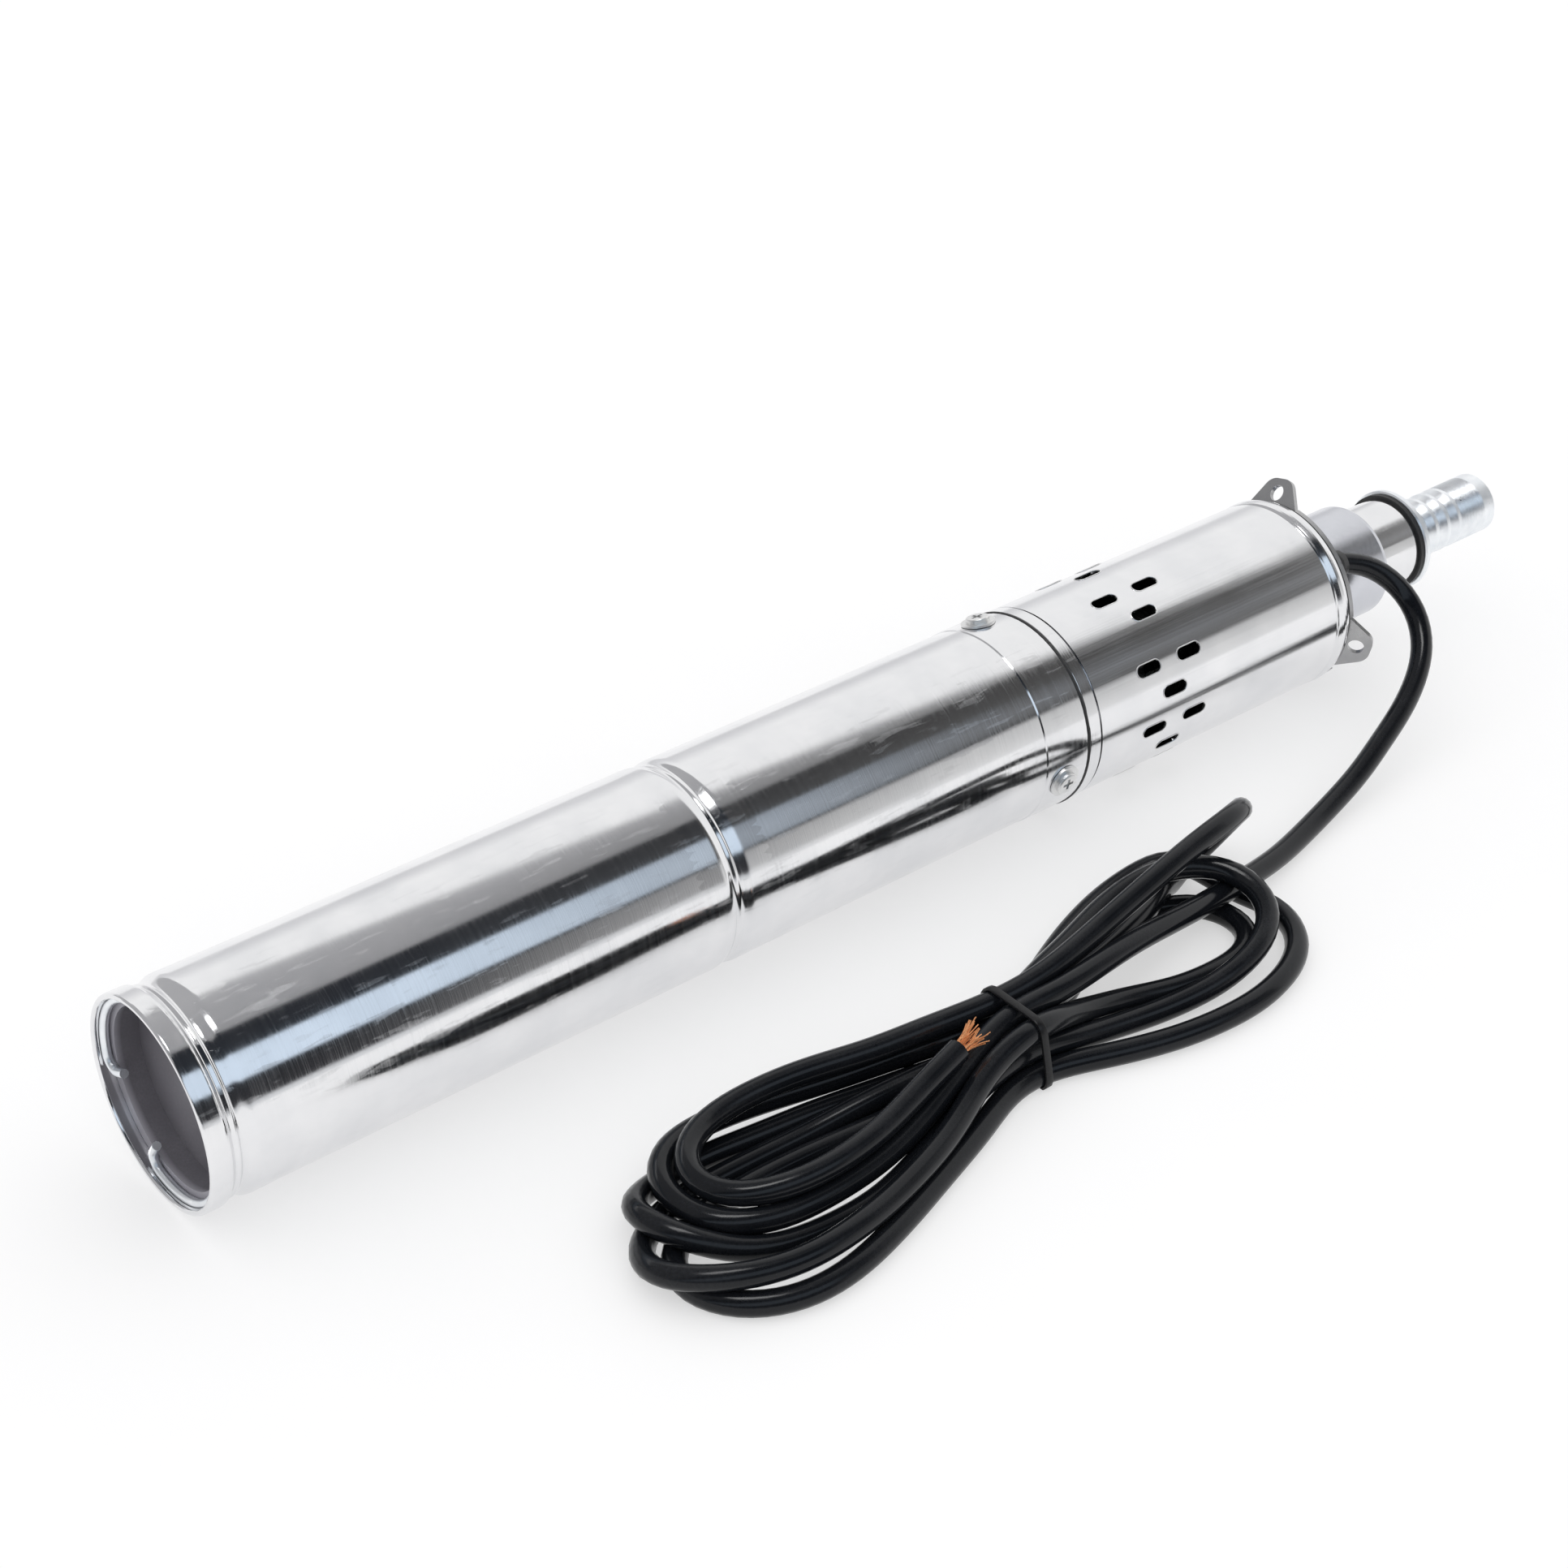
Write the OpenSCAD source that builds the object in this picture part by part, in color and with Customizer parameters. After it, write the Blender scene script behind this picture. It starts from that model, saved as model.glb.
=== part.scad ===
// Borehole submersible pump with a helical rotor and a free cable, lying on its side.
// The pump's axis runs along +X, from the motor's closed end to the hose tail.
// The floor is at Z = 0, and stations count along the axis from the motor's end rim.

/* [Motor tube] */
// Outside diameter of the motor tube
motor_d = 76; // [75:0.5:84]
// Length of the motor tube, from its end rim to its lip
motor_len = 368; // [362:1:400]
// Wall of the motor tube
tube_wall = 1.2; // [0.8:0.1:1.5]
// Thickness of the curled end rim
rim_t = 2.2; // [1.8:0.1:2.6]
// Length of the curled end rim
rim_len = 2; // [1.5:0.1:2.5]
// Length of the polished band at the end
end_band = 7.3; // [7:0.1:9]
// Depth of the rolled groove behind the band
end_groove_depth = 2.2; // [1:0.1:2.4]
// Length of the rolled groove behind the band
end_groove_len = 10.5; // [8:0.5:14]
// Distance from the lip back to the rolled groove in the middle of the tube
mid_groove_back = 161.5; // [158:0.5:168]
// Length of the middle groove
mid_groove_len = 10; // [6:0.5:12]
// Depth of the middle groove
mid_groove_depth = 1.6; // [0.6:0.1:1.8]
// Share of a rolled groove's depth that the ridge in its middle stands up
groove_ridge = 0.45; // [0.2:0.05:0.6]
// Length of the widened lip
lip_len = 20.5; // [18:0.5:24]
// How much the lip is widened, on the radius
lip_step = 0.3; // [0.2:0.05:0.6]

/* [Motor end] */
// Wire of the snap ring
ring_wire = 3.2; // [2:0.1:3.5]
// Middle of the gap between the snap ring's hooks
ring_gap_at = 319; // [300:1:340]
// Gap between the snap ring's hooks, in degrees
ring_gap = 74; // [30:1:90]
// Length of the end cap
cap_len = 21; // [19:0.5:28]
// Depth of the dish in the end cap
cap_dish = 9; // [6:0.5:11]
// Wall of the end cap's dish
cap_wall = 2.5; // [2:0.1:3.5]
// Diameter of the capacitor
capacitor_d = 45; // [36:1:50]
// Length of the capacitor
capacitor_len = 105; // [70:1:120]
// Distance from the end cap to the capacitor
capacitor_inset = 30; // [20:1:40]
// Length of each rubber ring round the capacitor
capacitor_ring_len = 12; // [8:1:16]

/* [Motor] */
// Thickness of the lower bearing bracket
bracket_t = 16; // [15:0.5:18]
// Distance from the bracket to the windings
winding_gap = 3; // [2:0.5:5]
// Length of the stator's laminations
core_len = 72; // [60:1:74]
// Radius of the motor's rotor
rotor_r = 18; // [16:0.5:19]
// Gap between the rotor and the stator
air_gap = 0.4; // [0.35:0.05:0.6]
// Height of the teeth's tips between the winding slots and the rotor
tooth_tip = 1; // [0.8:0.1:1.4]
// Depth of the winding slots
slot_depth = 10; // [8:0.5:11]
// Width of the winding slots
slot_w = 3.6; // [3:0.1:4]
// Number of winding slots
slot_count = 18; // [12:2:18]
// Height of the windings' end turns
end_turn = 12; // [9:0.5:12]
// Outside diameter of the ball bearings
bearing_od = 32; // [30:0.5:36]
// Width of the ball bearings
bearing_w = 10; // [9:0.5:11]
// Diameter of the bearing balls
ball_d = 5.8; // [5:0.1:6]
// Number of balls in each bearing
ball_count = 7; // [6:1:8]
// Diameter of the shaft's journals
shaft_d = 12; // [10:0.5:13]
// Diameter of the shaft under the rotor
shaft_body_d = 18; // [16:0.5:22]
// Height of the seal housing inside the tube
housing_depth = 32; // [31:0.5:33]
// Height of the seal housing above the lip
housing_rise = 8; // [7.5:0.5:10]
// Diameter of the shaft seal's seat
seal_d = 27.8; // [24:0.2:29]
// Distance from the lip down to the shaft seal's seat
seal_recess = 11; // [10:0.5:12]
// Length of the shaft seal's seat
seal_seat_len = 7.5; // [6:0.5:8.5]
// Length of the shaft seal's turning ring
seal_head_len = 6; // [5:0.5:8]
// Length of the shaft seal's spring
seal_spring_len = 12; // [10:0.5:14]

/* [Lip] */
// Number of screws round the lip
screw_count = 3; // [3:1:4]
// Thread diameter of the lip's screws
screw_d = 4; // [3:0.5:5]
// Diameter of the screws' heads
screw_head_d = 9; // [7:0.2:10]
// Height of the screws' heads
screw_head_h = 1.8; // [1.6:0.1:3]
// Diameter of the screws' washers
washer_d = 13; // [9.6:0.2:14]
// How deep the screws reach in from the lip's outside
screw_depth = 7; // [5:0.5:8]
// Distance from the lip's edge to the screws
screw_inset = 11; // [9:0.5:12]
// Angle of the first screw about the axis
screw_angle = 72; // [60:1:84]
// Thickness of the gasket on the lip
lip_gasket_t = 1; // [0.6:0.1:1.6]
// Length of the polished collar
collar_len = 6; // [4:0.5:8]
// Outside diameter of the polished collar
collar_d = 76.6; // [76.2:0.1:77]

/* [Intake] */
// Outside diameter of the intake tube
strainer_d = 76.4; // [76:0.2:77]
// Length of the intake tube
strainer_len = 133.6; // [130:0.2:170]
// Wall of the intake tube
strainer_wall = 1; // [0.6:0.1:1.1]
// Length of one intake slot
slot_hole_len = 12.2; // [8:0.2:13]
// Width of one intake slot
slot_hole_w = 5; // [3:0.2:6]
// Distance from the intake tube's lower end to the first row of slots
slot_row_at = 27.7; // [20:0.1:34]
// Distance between rows of slots
slot_row_pitch = 10.4; // [10:0.1:12]
// Angle of the first group of slots
slot_group_at = 6; // [0:1:20]
// Angle between groups of slots on each half
slot_group_pitch = 47.5; // [44:0.5:50]
// Angle from a group's outer slots to its middle slot
slot_stagger = 17.2; // [12:0.2:22]
// Length of the rolled bead at the top
bead_len = 7; // [5:0.5:9]
// Height of the rolled bead over the tube
bead_h = 0.4; // [0.2:0.1:0.8]
// Depth of the rolled groove under the bead
bead_groove_depth = 0.9; // [0.4:0.1:1]

/* [Helical pump] */
// Diameter of the helical rotor's round section
screw_section_d = 16; // [14:0.5:16.5]
// Eccentricity of the helical rotor
eccentricity = 3; // [2:0.1:3]
// Pitch of the helical rotor
screw_pitch = 30; // [26:1:40]
// Length of the rubber stator
pump_stator_len = 64; // [55:1:66]
// Gap between the helical rotor and the rubber stator
screw_gap = 0.45; // [0.4:0.05:0.6]
// Outside diameter of the pump barrel
barrel_d = 41; // [40.4:0.2:42]
// Wall of the pump barrel
barrel_wall = 1.6; // [1.2:0.1:2]
// Depth of the barrel's seat in the seal housing
barrel_socket = 10; // [8:0.5:11]
// Number of intake windows in the barrel
window_count = 4; // [3:1:5]
// Width of the barrel's intake windows
window_w = 18; // [10:1:20]
// Height of the barrel's intake windows
window_h = 42; // [30:1:44]
// Diameter of the drive coupling
coupling_d = 22; // [18:0.5:26]
// Length of the shaft's end inside the drive coupling
coupling_grip = 12; // [10:0.5:14]
// Diameter of the connecting rod's ball ends
ball_end_d = 12; // [11:0.5:13]
// Diameter of the connecting rod
rod_d = 8; // [6:0.5:8.5]
// Diameter of the helical rotor's cup
cup_d = 19; // [17:0.5:20]

/* [Head] */
// Thickness of the gasket under the head plate
head_gasket_t = 0.8; // [0.5:0.1:1.2]
// Diameter of the head plate
plate_d = 76; // [74:0.5:76.5]
// Thickness of the head plate
plate_t = 2; // [1.5:0.1:3]
// Number of lifting ears
ear_count = 3; // [2:1:3]
// Angle of the first lifting ear
ear_angle = 75; // [70:1:80]
// Distance from the axis to the ears' fold
ear_fold = 33; // [31:0.5:34]
// Half of an ear's width at its fold
ear_half_w = 14; // [11:0.5:15]
// Distance from the fold to the middle of an ear's hole
ear_hole_at = 8.3; // [7:0.1:10]
// Diameter of an ear's hole
ear_hole_d = 6.5; // [5:0.1:7]
// Radius of an ear's round tip
ear_tip_r = 6; // [5.5:0.1:7]
// Half length of the flat at an ear's tip
ear_tip_flat = 2; // [1:0.1:3]
// How far the ears are bent up from the plate
ear_bend = 37; // [30:1:45]

/* [Outlet] */
// Diameter of the outlet casting
dome_d = 46; // [45.6:0.2:48]
// Height of the outlet casting
dome_len = 39; // [36:0.5:46]
// Edge radius of the outlet casting
dome_edge = 3; // [1:0.5:3.5]
// Length of the barrel's thread in the casting
barrel_grip = 18; // [12:0.5:18]
// Diameter of the nipple
nipple_d = 37.2; // [36:0.2:38]
// Length of the nipple outside the casting
nipple_len = 22; // [18:0.5:30]
// Length of the nipple inside the casting
nipple_grip = 13; // [10:0.5:14]
// Bore of the nipple
nipple_bore_d = 28; // [24:0.5:29]
// Diameter of the rubber gasket
outlet_gasket_d = 40; // [38:0.5:42]
// Thickness of the rubber gasket
outlet_gasket_t = 2; // [1.5:0.1:3]
// Diameter of the hose tail's flange
flange_d = 42; // [40:0.5:44]
// Thickness of the hose tail's flange
flange_t = 3; // [2:0.1:4]
// Diameter of the hose tail's thread
tail_thread_d = 30.8; // [29.6:0.2:32]
// Length of the hose tail's thread
tail_thread_len = 14; // [10:0.5:16]
// Outside diameter of the hose tail
tail_d = 25; // [22:0.2:28]
// Bore of the hose tail
tail_bore_d = 19; // [14:0.5:20]
// Length of the hose tail
tail_len = 50; // [48:0.5:60]
// Length of the hose tail's plain part
tail_plain = 8; // [6:0.5:13]
// Number of wide grooves on the hose tail
barb_count = 3; // [1:1:3]
// Length of one wide groove
barb_len = 7; // [5:0.5:7]
// Depth of the wide grooves
barb_depth = 1.3; // [0.5:0.1:1.5]
// Number of fine ridges at the hose tail's end
ridge_count = 8; // [5:1:8]
// Length of one fine ridge
ridge_len = 1.8; // [1.4:0.1:1.8]
// Depth of the fine ridges
ridge_depth = 0.6; // [0.3:0.1:0.8]

/* [Cable] */
// Diameter of the cable
cable_d = 8.6; // [7:0.1:9]
// Diameter of the bundle of cores below the motor's cable bush
core_bundle_d = 4.4; // [4:0.1:4.6]
// Length of the motor's cable bush
bush_len = 8; // [6:0.5:10]
// Distance from the axis to the cable's gland
gland_at = 30.2; // [30.2:0.1:30.6]
// Angle of the cable's gland about the axis
gland_angle = 139; // [134:1:150]
// Diameter of the grommet on the head plate
gland_d = 12; // [11.8:0.1:12.4]
// Height of the grommet over the head plate
gland_h = 6; // [4:0.5:8]
// Height of the hank
hank_h = 24; // [20:1:30]
// Width of the tie round the hank
tie_w = 3; // [2:0.5:5]
// Thickness of the tie round the hank
tie_t = 1.6; // [1:0.1:2]
// Diameter of a bare conductor
conductor_d = 1.8; // [1.2:0.1:2.2]
// Length of the bare conductors
conductor_len = 14; // [8:1:20]

/* [Hidden] */
$fn = 72;

// Clearances
seat_gap = 0.15;
running_gap = 0.3;
groove_gap = 0.3;
cut = 1;

// Motor tube
motor_r = motor_d / 2;
motor_bore = motor_r - tube_wall;
lip_r = motor_r + lip_step;
lip_bore = lip_r - tube_wall;
lip_at = motor_len - lip_len;
lip_slope = 2 * lip_step;
groove_fall = 2.3;
groove_floor = 2.3;
groove_ridge_at = end_band + groove_fall;
groove_rise_at = groove_ridge_at + groove_floor;
groove_rise = end_groove_len - groove_fall - groove_floor;
mid_groove_at = motor_len - mid_groove_back;
mid_groove_end = mid_groove_at + mid_groove_len / 2;

// Motor end
ring_at = rim_len + seat_gap + ring_wire / 2;
ring_r = motor_bore - seat_gap - ring_wire / 2;
hook_bend = 1.5 * ring_wire;
hook_tip = 2.4 * ring_wire;
cap_at = ring_at + ring_wire / 2 + seat_gap;
cap_flange_end = end_band - seat_gap;
cap_end = cap_at + cap_len;
cap_r = motor_bore - end_groove_depth - groove_gap;
o_ring = 2.5;
o_groove = 1.2 * o_ring;
o_ring_inset = 4;
cap_seal_at = cap_end - o_ring_inset;
capacitor_at = cap_end + capacitor_inset;
capacitor_r = capacitor_d / 2;

// Motor
bracket_at = mid_groove_end + seat_gap;
bracket_end = bracket_at + bracket_t;
bracket_seal_at = bracket_at + o_ring_inset;
winding_at = bracket_end + winding_gap;
core_at = winding_at + end_turn + seat_gap;
core_end = core_at + core_len;
winding_end = core_end + seat_gap + end_turn;
core_bore = rotor_r + air_gap;
slot_at = core_bore + tooth_tip;
slot_floor = slot_at + slot_depth;
bearing_r = bearing_od / 2;
shaft_r = shaft_d / 2;
ball_pitch_r = (bearing_r + shaft_r) / 2;
ball_r = ball_d / 2;
race_shoulder = ball_r / 2;
lower_bearing_at = bracket_end - bearing_w - seat_gap;
housing_at = motor_len - housing_depth;
housing_end = motor_len + housing_rise;
housing_seal_at = lip_at + o_ring_inset;
upper_bearing_inset = 4;
upper_bearing_at = housing_at + upper_bearing_inset;
upper_bearing_end = upper_bearing_at + bearing_w;
seal_at = motor_len - seal_recess;
seal_seat_end = seal_at + seal_seat_len;
seal_head_at = seal_seat_end + running_gap;
seal_head_end = seal_head_at + seal_head_len;
spring_at = seal_head_end + seat_gap;
spring_wire = 1.6;
coupling_at = spring_at + seal_spring_len + seat_gap;
shaft_stub = 2;
shaft_at = lower_bearing_at - shaft_stub;
shaft_end = coupling_at + coupling_grip;
shaft_room = 2;
shaft_hole_r = shaft_r + shaft_room;

// Intake
collar_at = motor_len + lip_gasket_t;
collar_end = collar_at + collar_len;
cable_r = cable_d / 2;
cable_hole_r = cable_r + seat_gap;
bush_wall = 0.8;
bush_r = cable_hole_r + bush_wall;
collar_room = 0.6;
collar_bore = gland_at + bush_r + collar_room;
strainer_r = strainer_d / 2;
strainer_bore = strainer_r - strainer_wall;
seam = 0.4;
strainer_at = collar_end + seam;
strainer_end = strainer_at + strainer_len;
bead_r = strainer_r + bead_h;
bead_at = strainer_end - bead_len;
bead_groove = 2.1;
half_turn = 180;
collar_spigot = 6;

// Head
head_gasket_end = strainer_end + head_gasket_t;
plate_end = head_gasket_end + plate_t;
dome_end = plate_end + dome_len;
nipple_at = dome_end - nipple_grip;
nipple_end = dome_end + nipple_len;
outlet_gasket_end = nipple_end + outlet_gasket_t;
flange_end = outlet_gasket_end + flange_t;
total_len = flange_end + tail_len;

// Helical pump
barrel_r = barrel_d / 2;
barrel_bore = barrel_r - barrel_wall;
barrel_at = housing_end - barrel_socket;
barrel_end = plate_end + barrel_grip;
pump_stator_inset = 6;
pump_stator_end = plate_end - pump_stator_inset;
pump_stator_at = pump_stator_end - pump_stator_len;
socket_r = ball_end_d / 2 + running_gap;
socket_floor_t = 2;
coupling_floor = shaft_end + socket_floor_t;
lower_ball_at = coupling_floor + socket_r;
coupling_end = lower_ball_at + ball_end_d / 2;
rotor_overrun = 2;
cup_end = pump_stator_at - rotor_overrun;
cup_floor = cup_end - socket_floor_t;
upper_ball_at = cup_floor - socket_r;
cup_at = upper_ball_at - ball_end_d / 2;
rod_tilt = atan2(eccentricity, upper_ball_at - lower_ball_at);
rod_len = norm([eccentricity, upper_ball_at - lower_ball_at]);
rotor_tip = pump_stator_end + rotor_overrun;
window_inset = 8;
window_at = housing_end + window_inset;
window_angle = 45;

// Cable
gland_end = plate_end + gland_h;
gland_y = gland_at * cos(gland_angle);
axis_z = max(bead_r, lip_r, collar_d / 2);
gland_z = axis_z + gland_at * sin(gland_angle);
bush_at = housing_end - bush_len;
core_tail = 3;
lead_sides = 12;
conductor_fan = 25;

// The lead's route over the floor, after the gland: X, Y and Z of hand-chosen points
LEAD = [[214.1, -26.8, 55.2], [220.5, -32.4, 50.7], [223.9, -38.6, 45.8], [224.3, -45.3, 40.3], [221.7, -52, 35],
  [216.8, -57.8, 30.3], [209.7, -63, 26.2], [199.2, -68.5, 21.8], [186.8, -73.4, 17.9], [173.1, -77.7, 14.4],
  [158.3, -82.3, 10.7], [140.5, -86.5, 7.4], [117, -92, 5], [95, -98, 6], [72, -103, 9], [49, -108, 13],
  [26, -112, 17], [4, -115, 20], [-18, -118, 21], [-40, -120, 21]];
// Middle points and half widths of the hank on the floor
HANK_LEFT = [-172, -124];
HANK_RIGHT = [29, -112];
HANK_MIDDLE = [-57, -120];
HANK_LEFT_R = 41;
HANK_RIGHT_R = 37;
HANK_WAIST = 14;
// Where the sheath ends and the bare conductors start
CONDUCTORS = [-74, -124];

function station_x(s) = s - total_len / 2;
function unit(v) = v / norm(v);
function ease(t) = (1 - cos(180 * t)) / 2;
function reversed(list) = [for (i = [len(list) - 1:-1:0]) list[i]];

// Ring of points round a route's point, square to the route there
function route_ring(path, i, r, sides) =
  let (before = path[max(i - 1, 0)], after = path[min(i + 1, len(path) - 1)], along = unit(after - before),
    side = unit(cross(along, [0, 0, 1])), up = cross(side, along))
  [for (j = [0:sides - 1]) path[i] + r * (cos(360 * j / sides) * side + sin(360 * j / sides) * up)];

// Tube swept along a list of points
module swept_tube(path, r, sides) {
  count = len(path);
  points = [for (i = [0:count - 1]) each route_ring(path, i, r, sides)];
  walls = [for (i = [0:count - 2], j = [0:sides - 1]) let (k = (j + 1) % sides)
    [i * sides + j, i * sides + k, (i + 1) * sides + k, (i + 1) * sides + j]];
  first = [for (j = [sides - 1:-1:0]) j];
  last = [for (j = [0:sides - 1]) (count - 1) * sides + j];
  polyhedron(points, concat([first], walls, [last]), convexity = 8);
}

// Places its children at a station, with their Z along the pump's axis
module at_station(s) {
  translate([station_x(s), 0, axis_z]) rotate([0, 90, 0]) children();
}

// Turns an outline of radius and station about the pump's axis
module turned(outline) {
  at_station(0) rotate_extrude() polygon(outline);
}

// Plain ring or disc between two stations
module ring(from, to, outer, inner = 0) {
  turned([[inner, from], [outer, from], [outer, to], [inner, to]]);
}

// Round bar or hole along the axis, between two stations
module bar(from, to, r) {
  at_station(from) cylinder(h = to - from, r = r);
}

// Groove for an O-ring in a round piece, down to its floor's radius
module o_ring_groove(s, floor_r) {
  ring(s - o_groove / 2, s + o_groove / 2, motor_r, floor_r);
}

// O-ring about the axis
module o_ring_at(s, outer) {
  at_station(s) rotate_extrude() translate([outer - o_ring / 2, 0]) circle(d = o_ring);
}

// Places its children at a station and an angle, with their Z pointing out from the axis
module facing_out(s, angle) {
  translate([station_x(s), 0, axis_z]) rotate([angle - 90, 0, 0]) children();
}

// Places its children beside the axis at the cable's gland
module at_gland(s) {
  translate([station_x(s), gland_y, gland_z]) rotate([0, 90, 0]) children();
}

// Motor tube

// Outline of the tube's outside, from the rim to the lip
function tube_outline(r, steps = 6) = concat(
  [for (i = [0:steps]) [r - end_groove_depth * ease(i / steps), end_band + groove_fall * i / steps]],
  [for (i = [1:3]) [r - end_groove_depth * (1 - groove_ridge * ease(i / 2)),
    groove_ridge_at + groove_floor * i / 4]],
  [for (i = [0:steps]) [r - end_groove_depth * (1 - ease(i / steps)), groove_rise_at + groove_rise * i / steps]],
  [for (i = [0:2 * steps]) [r - mid_groove_depth * ease(i / steps) * (i == steps ? 1 - groove_ridge : 1),
    mid_groove_end + mid_groove_len * (i / steps / 2 - 1)]],
  [[r, lip_at], [r + lip_step, lip_at + lip_slope], [r + lip_step, motor_len]]);

module screw_places() {
  for (i = [0:screw_count - 1]) facing_out(motor_len - screw_inset, screw_angle + 360 * i / screw_count) children();
}

module motor_tube() {
  edge = rim_t / 2;
  rim = [for (a = [180:-15:0]) [motor_r - edge + edge * cos(a), edge - edge * sin(a)]];
  inside = concat([[motor_r - rim_t, rim_len], [motor_bore, rim_len]], tube_outline(motor_bore));
  color("silver") difference() {
    turned(concat(rim, tube_outline(motor_r), reversed(inside)));
    screw_places() cylinder(h = 2 * motor_r, d = screw_d + 2 * running_gap);
  }
}

// Motor end

module end_cap() {
  color("dimgray") difference() {
    turned([[0, cap_at + cap_dish], [cap_r - cap_wall, cap_at + cap_dish], [cap_r - cap_wall, cap_at],
      [motor_bore - seat_gap, cap_at], [motor_bore - seat_gap, cap_flange_end], [cap_r, cap_flange_end],
      [cap_r, cap_end], [0, cap_end]]);
    o_ring_groove(cap_seal_at, motor_bore - 2 * seat_gap - o_ring);
  }
}

module end_cap_seal() {
  color("black") o_ring_at(cap_seal_at, motor_bore - seat_gap);
}

// One inward hook at the snap ring's end: a quarter bend and a short straight tip
module ring_hook() {
  translate([ring_r, 0, 0]) sphere(d = ring_wire + seat_gap);
  translate([ring_r - hook_bend, 0, 0]) {
    intersection() {
      rotate_extrude() translate([hook_bend, 0]) circle(d = ring_wire);
      translate([0, 0, -ring_wire]) cube(2 * hook_bend);
    }
    translate([0, hook_bend, 0]) rotate([0, -90, 0]) cylinder(h = hook_tip, d = ring_wire);
  }
}

module snap_ring() {
  reach = 2 * motor_r;
  half = ring_gap / 2;
  color("gainsboro") at_station(ring_at) rotate(90 + ring_gap_at) {
    difference() {
      rotate_extrude() translate([ring_r, 0]) circle(d = ring_wire);
      translate([0, 0, -ring_wire]) linear_extrude(2 * ring_wire)
        polygon([[0, 0], reach * [cos(half), -sin(half)], reach * [cos(half), sin(half)]]);
    }
    rotate(-half) ring_hook();
    mirror([0, 1, 0]) rotate(-half) ring_hook();
  }
}

module capacitor() {
  edge = 2;
  color("white") turned([[0, capacitor_at], [capacitor_r - edge, capacitor_at], [capacitor_r, capacitor_at + edge],
    [capacitor_r, capacitor_at + capacitor_len - edge], [capacitor_r - edge, capacitor_at + capacitor_len],
    [0, capacitor_at + capacitor_len]]);
}

module capacitor_rings() {
  inset = 6;
  for (s = [capacitor_at + inset, capacitor_at + capacitor_len - inset - capacitor_ring_len])
    color("black") ring(s, s + capacitor_ring_len, motor_bore - seat_gap, capacitor_r + seat_gap);
}

// Motor

module lower_bracket() {
  color("lightgray") difference() {
    ring(bracket_at, bracket_end, motor_bore - seat_gap);
    ring(lower_bearing_at, bracket_end + cut, bearing_r + seat_gap / 2);
    ring(shaft_at - seat_gap - running_gap, lower_bearing_at + cut, shaft_hole_r);
    o_ring_groove(bracket_seal_at, motor_bore - 2 * seat_gap - o_ring);
  }
}

module bracket_seal() {
  color("black") o_ring_at(bracket_seal_at, motor_bore - seat_gap);
}

// Outline of the winding slots, seen along the axis
module winding_slots(gap) {
  for (i = [0:slot_count - 1]) rotate(360 * i / slot_count)
    translate([slot_at + gap, gap - slot_w / 2]) square([slot_depth - 2 * gap, slot_w - 2 * gap]);
}

module stator_core() {
  color("slategray") at_station(core_at) linear_extrude(core_len) difference() {
    circle(motor_bore - seat_gap);
    circle(core_bore);
    winding_slots(0);
  }
}

module stator_windings() {
  turn_in = slot_at + seat_gap;
  turn_out = slot_floor - seat_gap;
  color("peru") {
    ring(winding_at, winding_at + end_turn, turn_out, turn_in);
    at_station(winding_at + end_turn) linear_extrude(core_len + 2 * seat_gap) winding_slots(seat_gap);
    ring(core_end + seat_gap, winding_end, turn_out, turn_in);
  }
}

module bearing_places() {
  for (s = [lower_bearing_at, upper_bearing_at]) at_station(s + bearing_w / 2) children();
}

// Round groove in both races, in which the balls run
module ball_track() {
  rotate_extrude() translate([ball_pitch_r, 0]) circle(ball_r + running_gap);
}

module race(outer, inner) {
  difference() {
    rotate_extrude() translate([inner, -bearing_w / 2]) square([outer - inner, bearing_w]);
    ball_track();
  }
}

module bearing_outer_races() {
  color("silver") bearing_places() race(bearing_r, ball_pitch_r + race_shoulder);
}

module bearing_inner_races() {
  color("silver") bearing_places() race(ball_pitch_r - race_shoulder, shaft_r + seat_gap / 2);
}

module bearing_balls() {
  color("silver") bearing_places() for (i = [0:ball_count - 1])
    rotate(360 * i / ball_count) translate([ball_pitch_r, 0, 0]) sphere(ball_r);
}

module motor_shaft() {
  body_at = lower_bearing_at + bearing_w + seat_gap + running_gap;
  body_end = upper_bearing_at - running_gap;
  color("lightgray") {
    bar(shaft_at, shaft_end, shaft_r);
    bar(body_at, body_end, shaft_body_d / 2);
  }
}

module rotor_core() {
  color("gray") ring(core_at, core_end, rotor_r, shaft_body_d / 2 + seat_gap / 2);
}

// Housing and shaft seal

module seal_housing() {
  lower_r = motor_bore - seat_gap;
  upper_r = lip_bore - seat_gap;
  step_at = lip_at + lip_slope + seat_gap;
  neck_r = collar_bore - seat_gap;
  screw_floor = lip_r - screw_depth - running_gap;
  color("darkgray") difference() {
    turned([[0, housing_at], [lower_r, housing_at], [lower_r, step_at], [upper_r, step_at], [upper_r, motor_len],
      [neck_r, motor_len], [neck_r, housing_end], [0, housing_end]]);
    ring(housing_at - cut, upper_bearing_end, bearing_r + seat_gap / 2);
    ring(housing_at, housing_end, shaft_hole_r);
    ring(seal_at, housing_end, seal_d / 2 + seat_gap);
    ring(barrel_at, housing_end + cut, barrel_r + seat_gap);
    o_ring_groove(housing_seal_at, lip_bore - 2 * seat_gap - o_ring);
    at_gland(housing_at - cut) cylinder(h = bush_at - housing_at + 2 * cut, r = core_bundle_d / 2 + seat_gap);
    at_gland(bush_at) cylinder(h = bush_len + cut, r = bush_r + seat_gap);
    screw_places() translate([0, 0, screw_floor]) cylinder(h = screw_depth, d = screw_d + seat_gap);
  }
}

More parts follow.
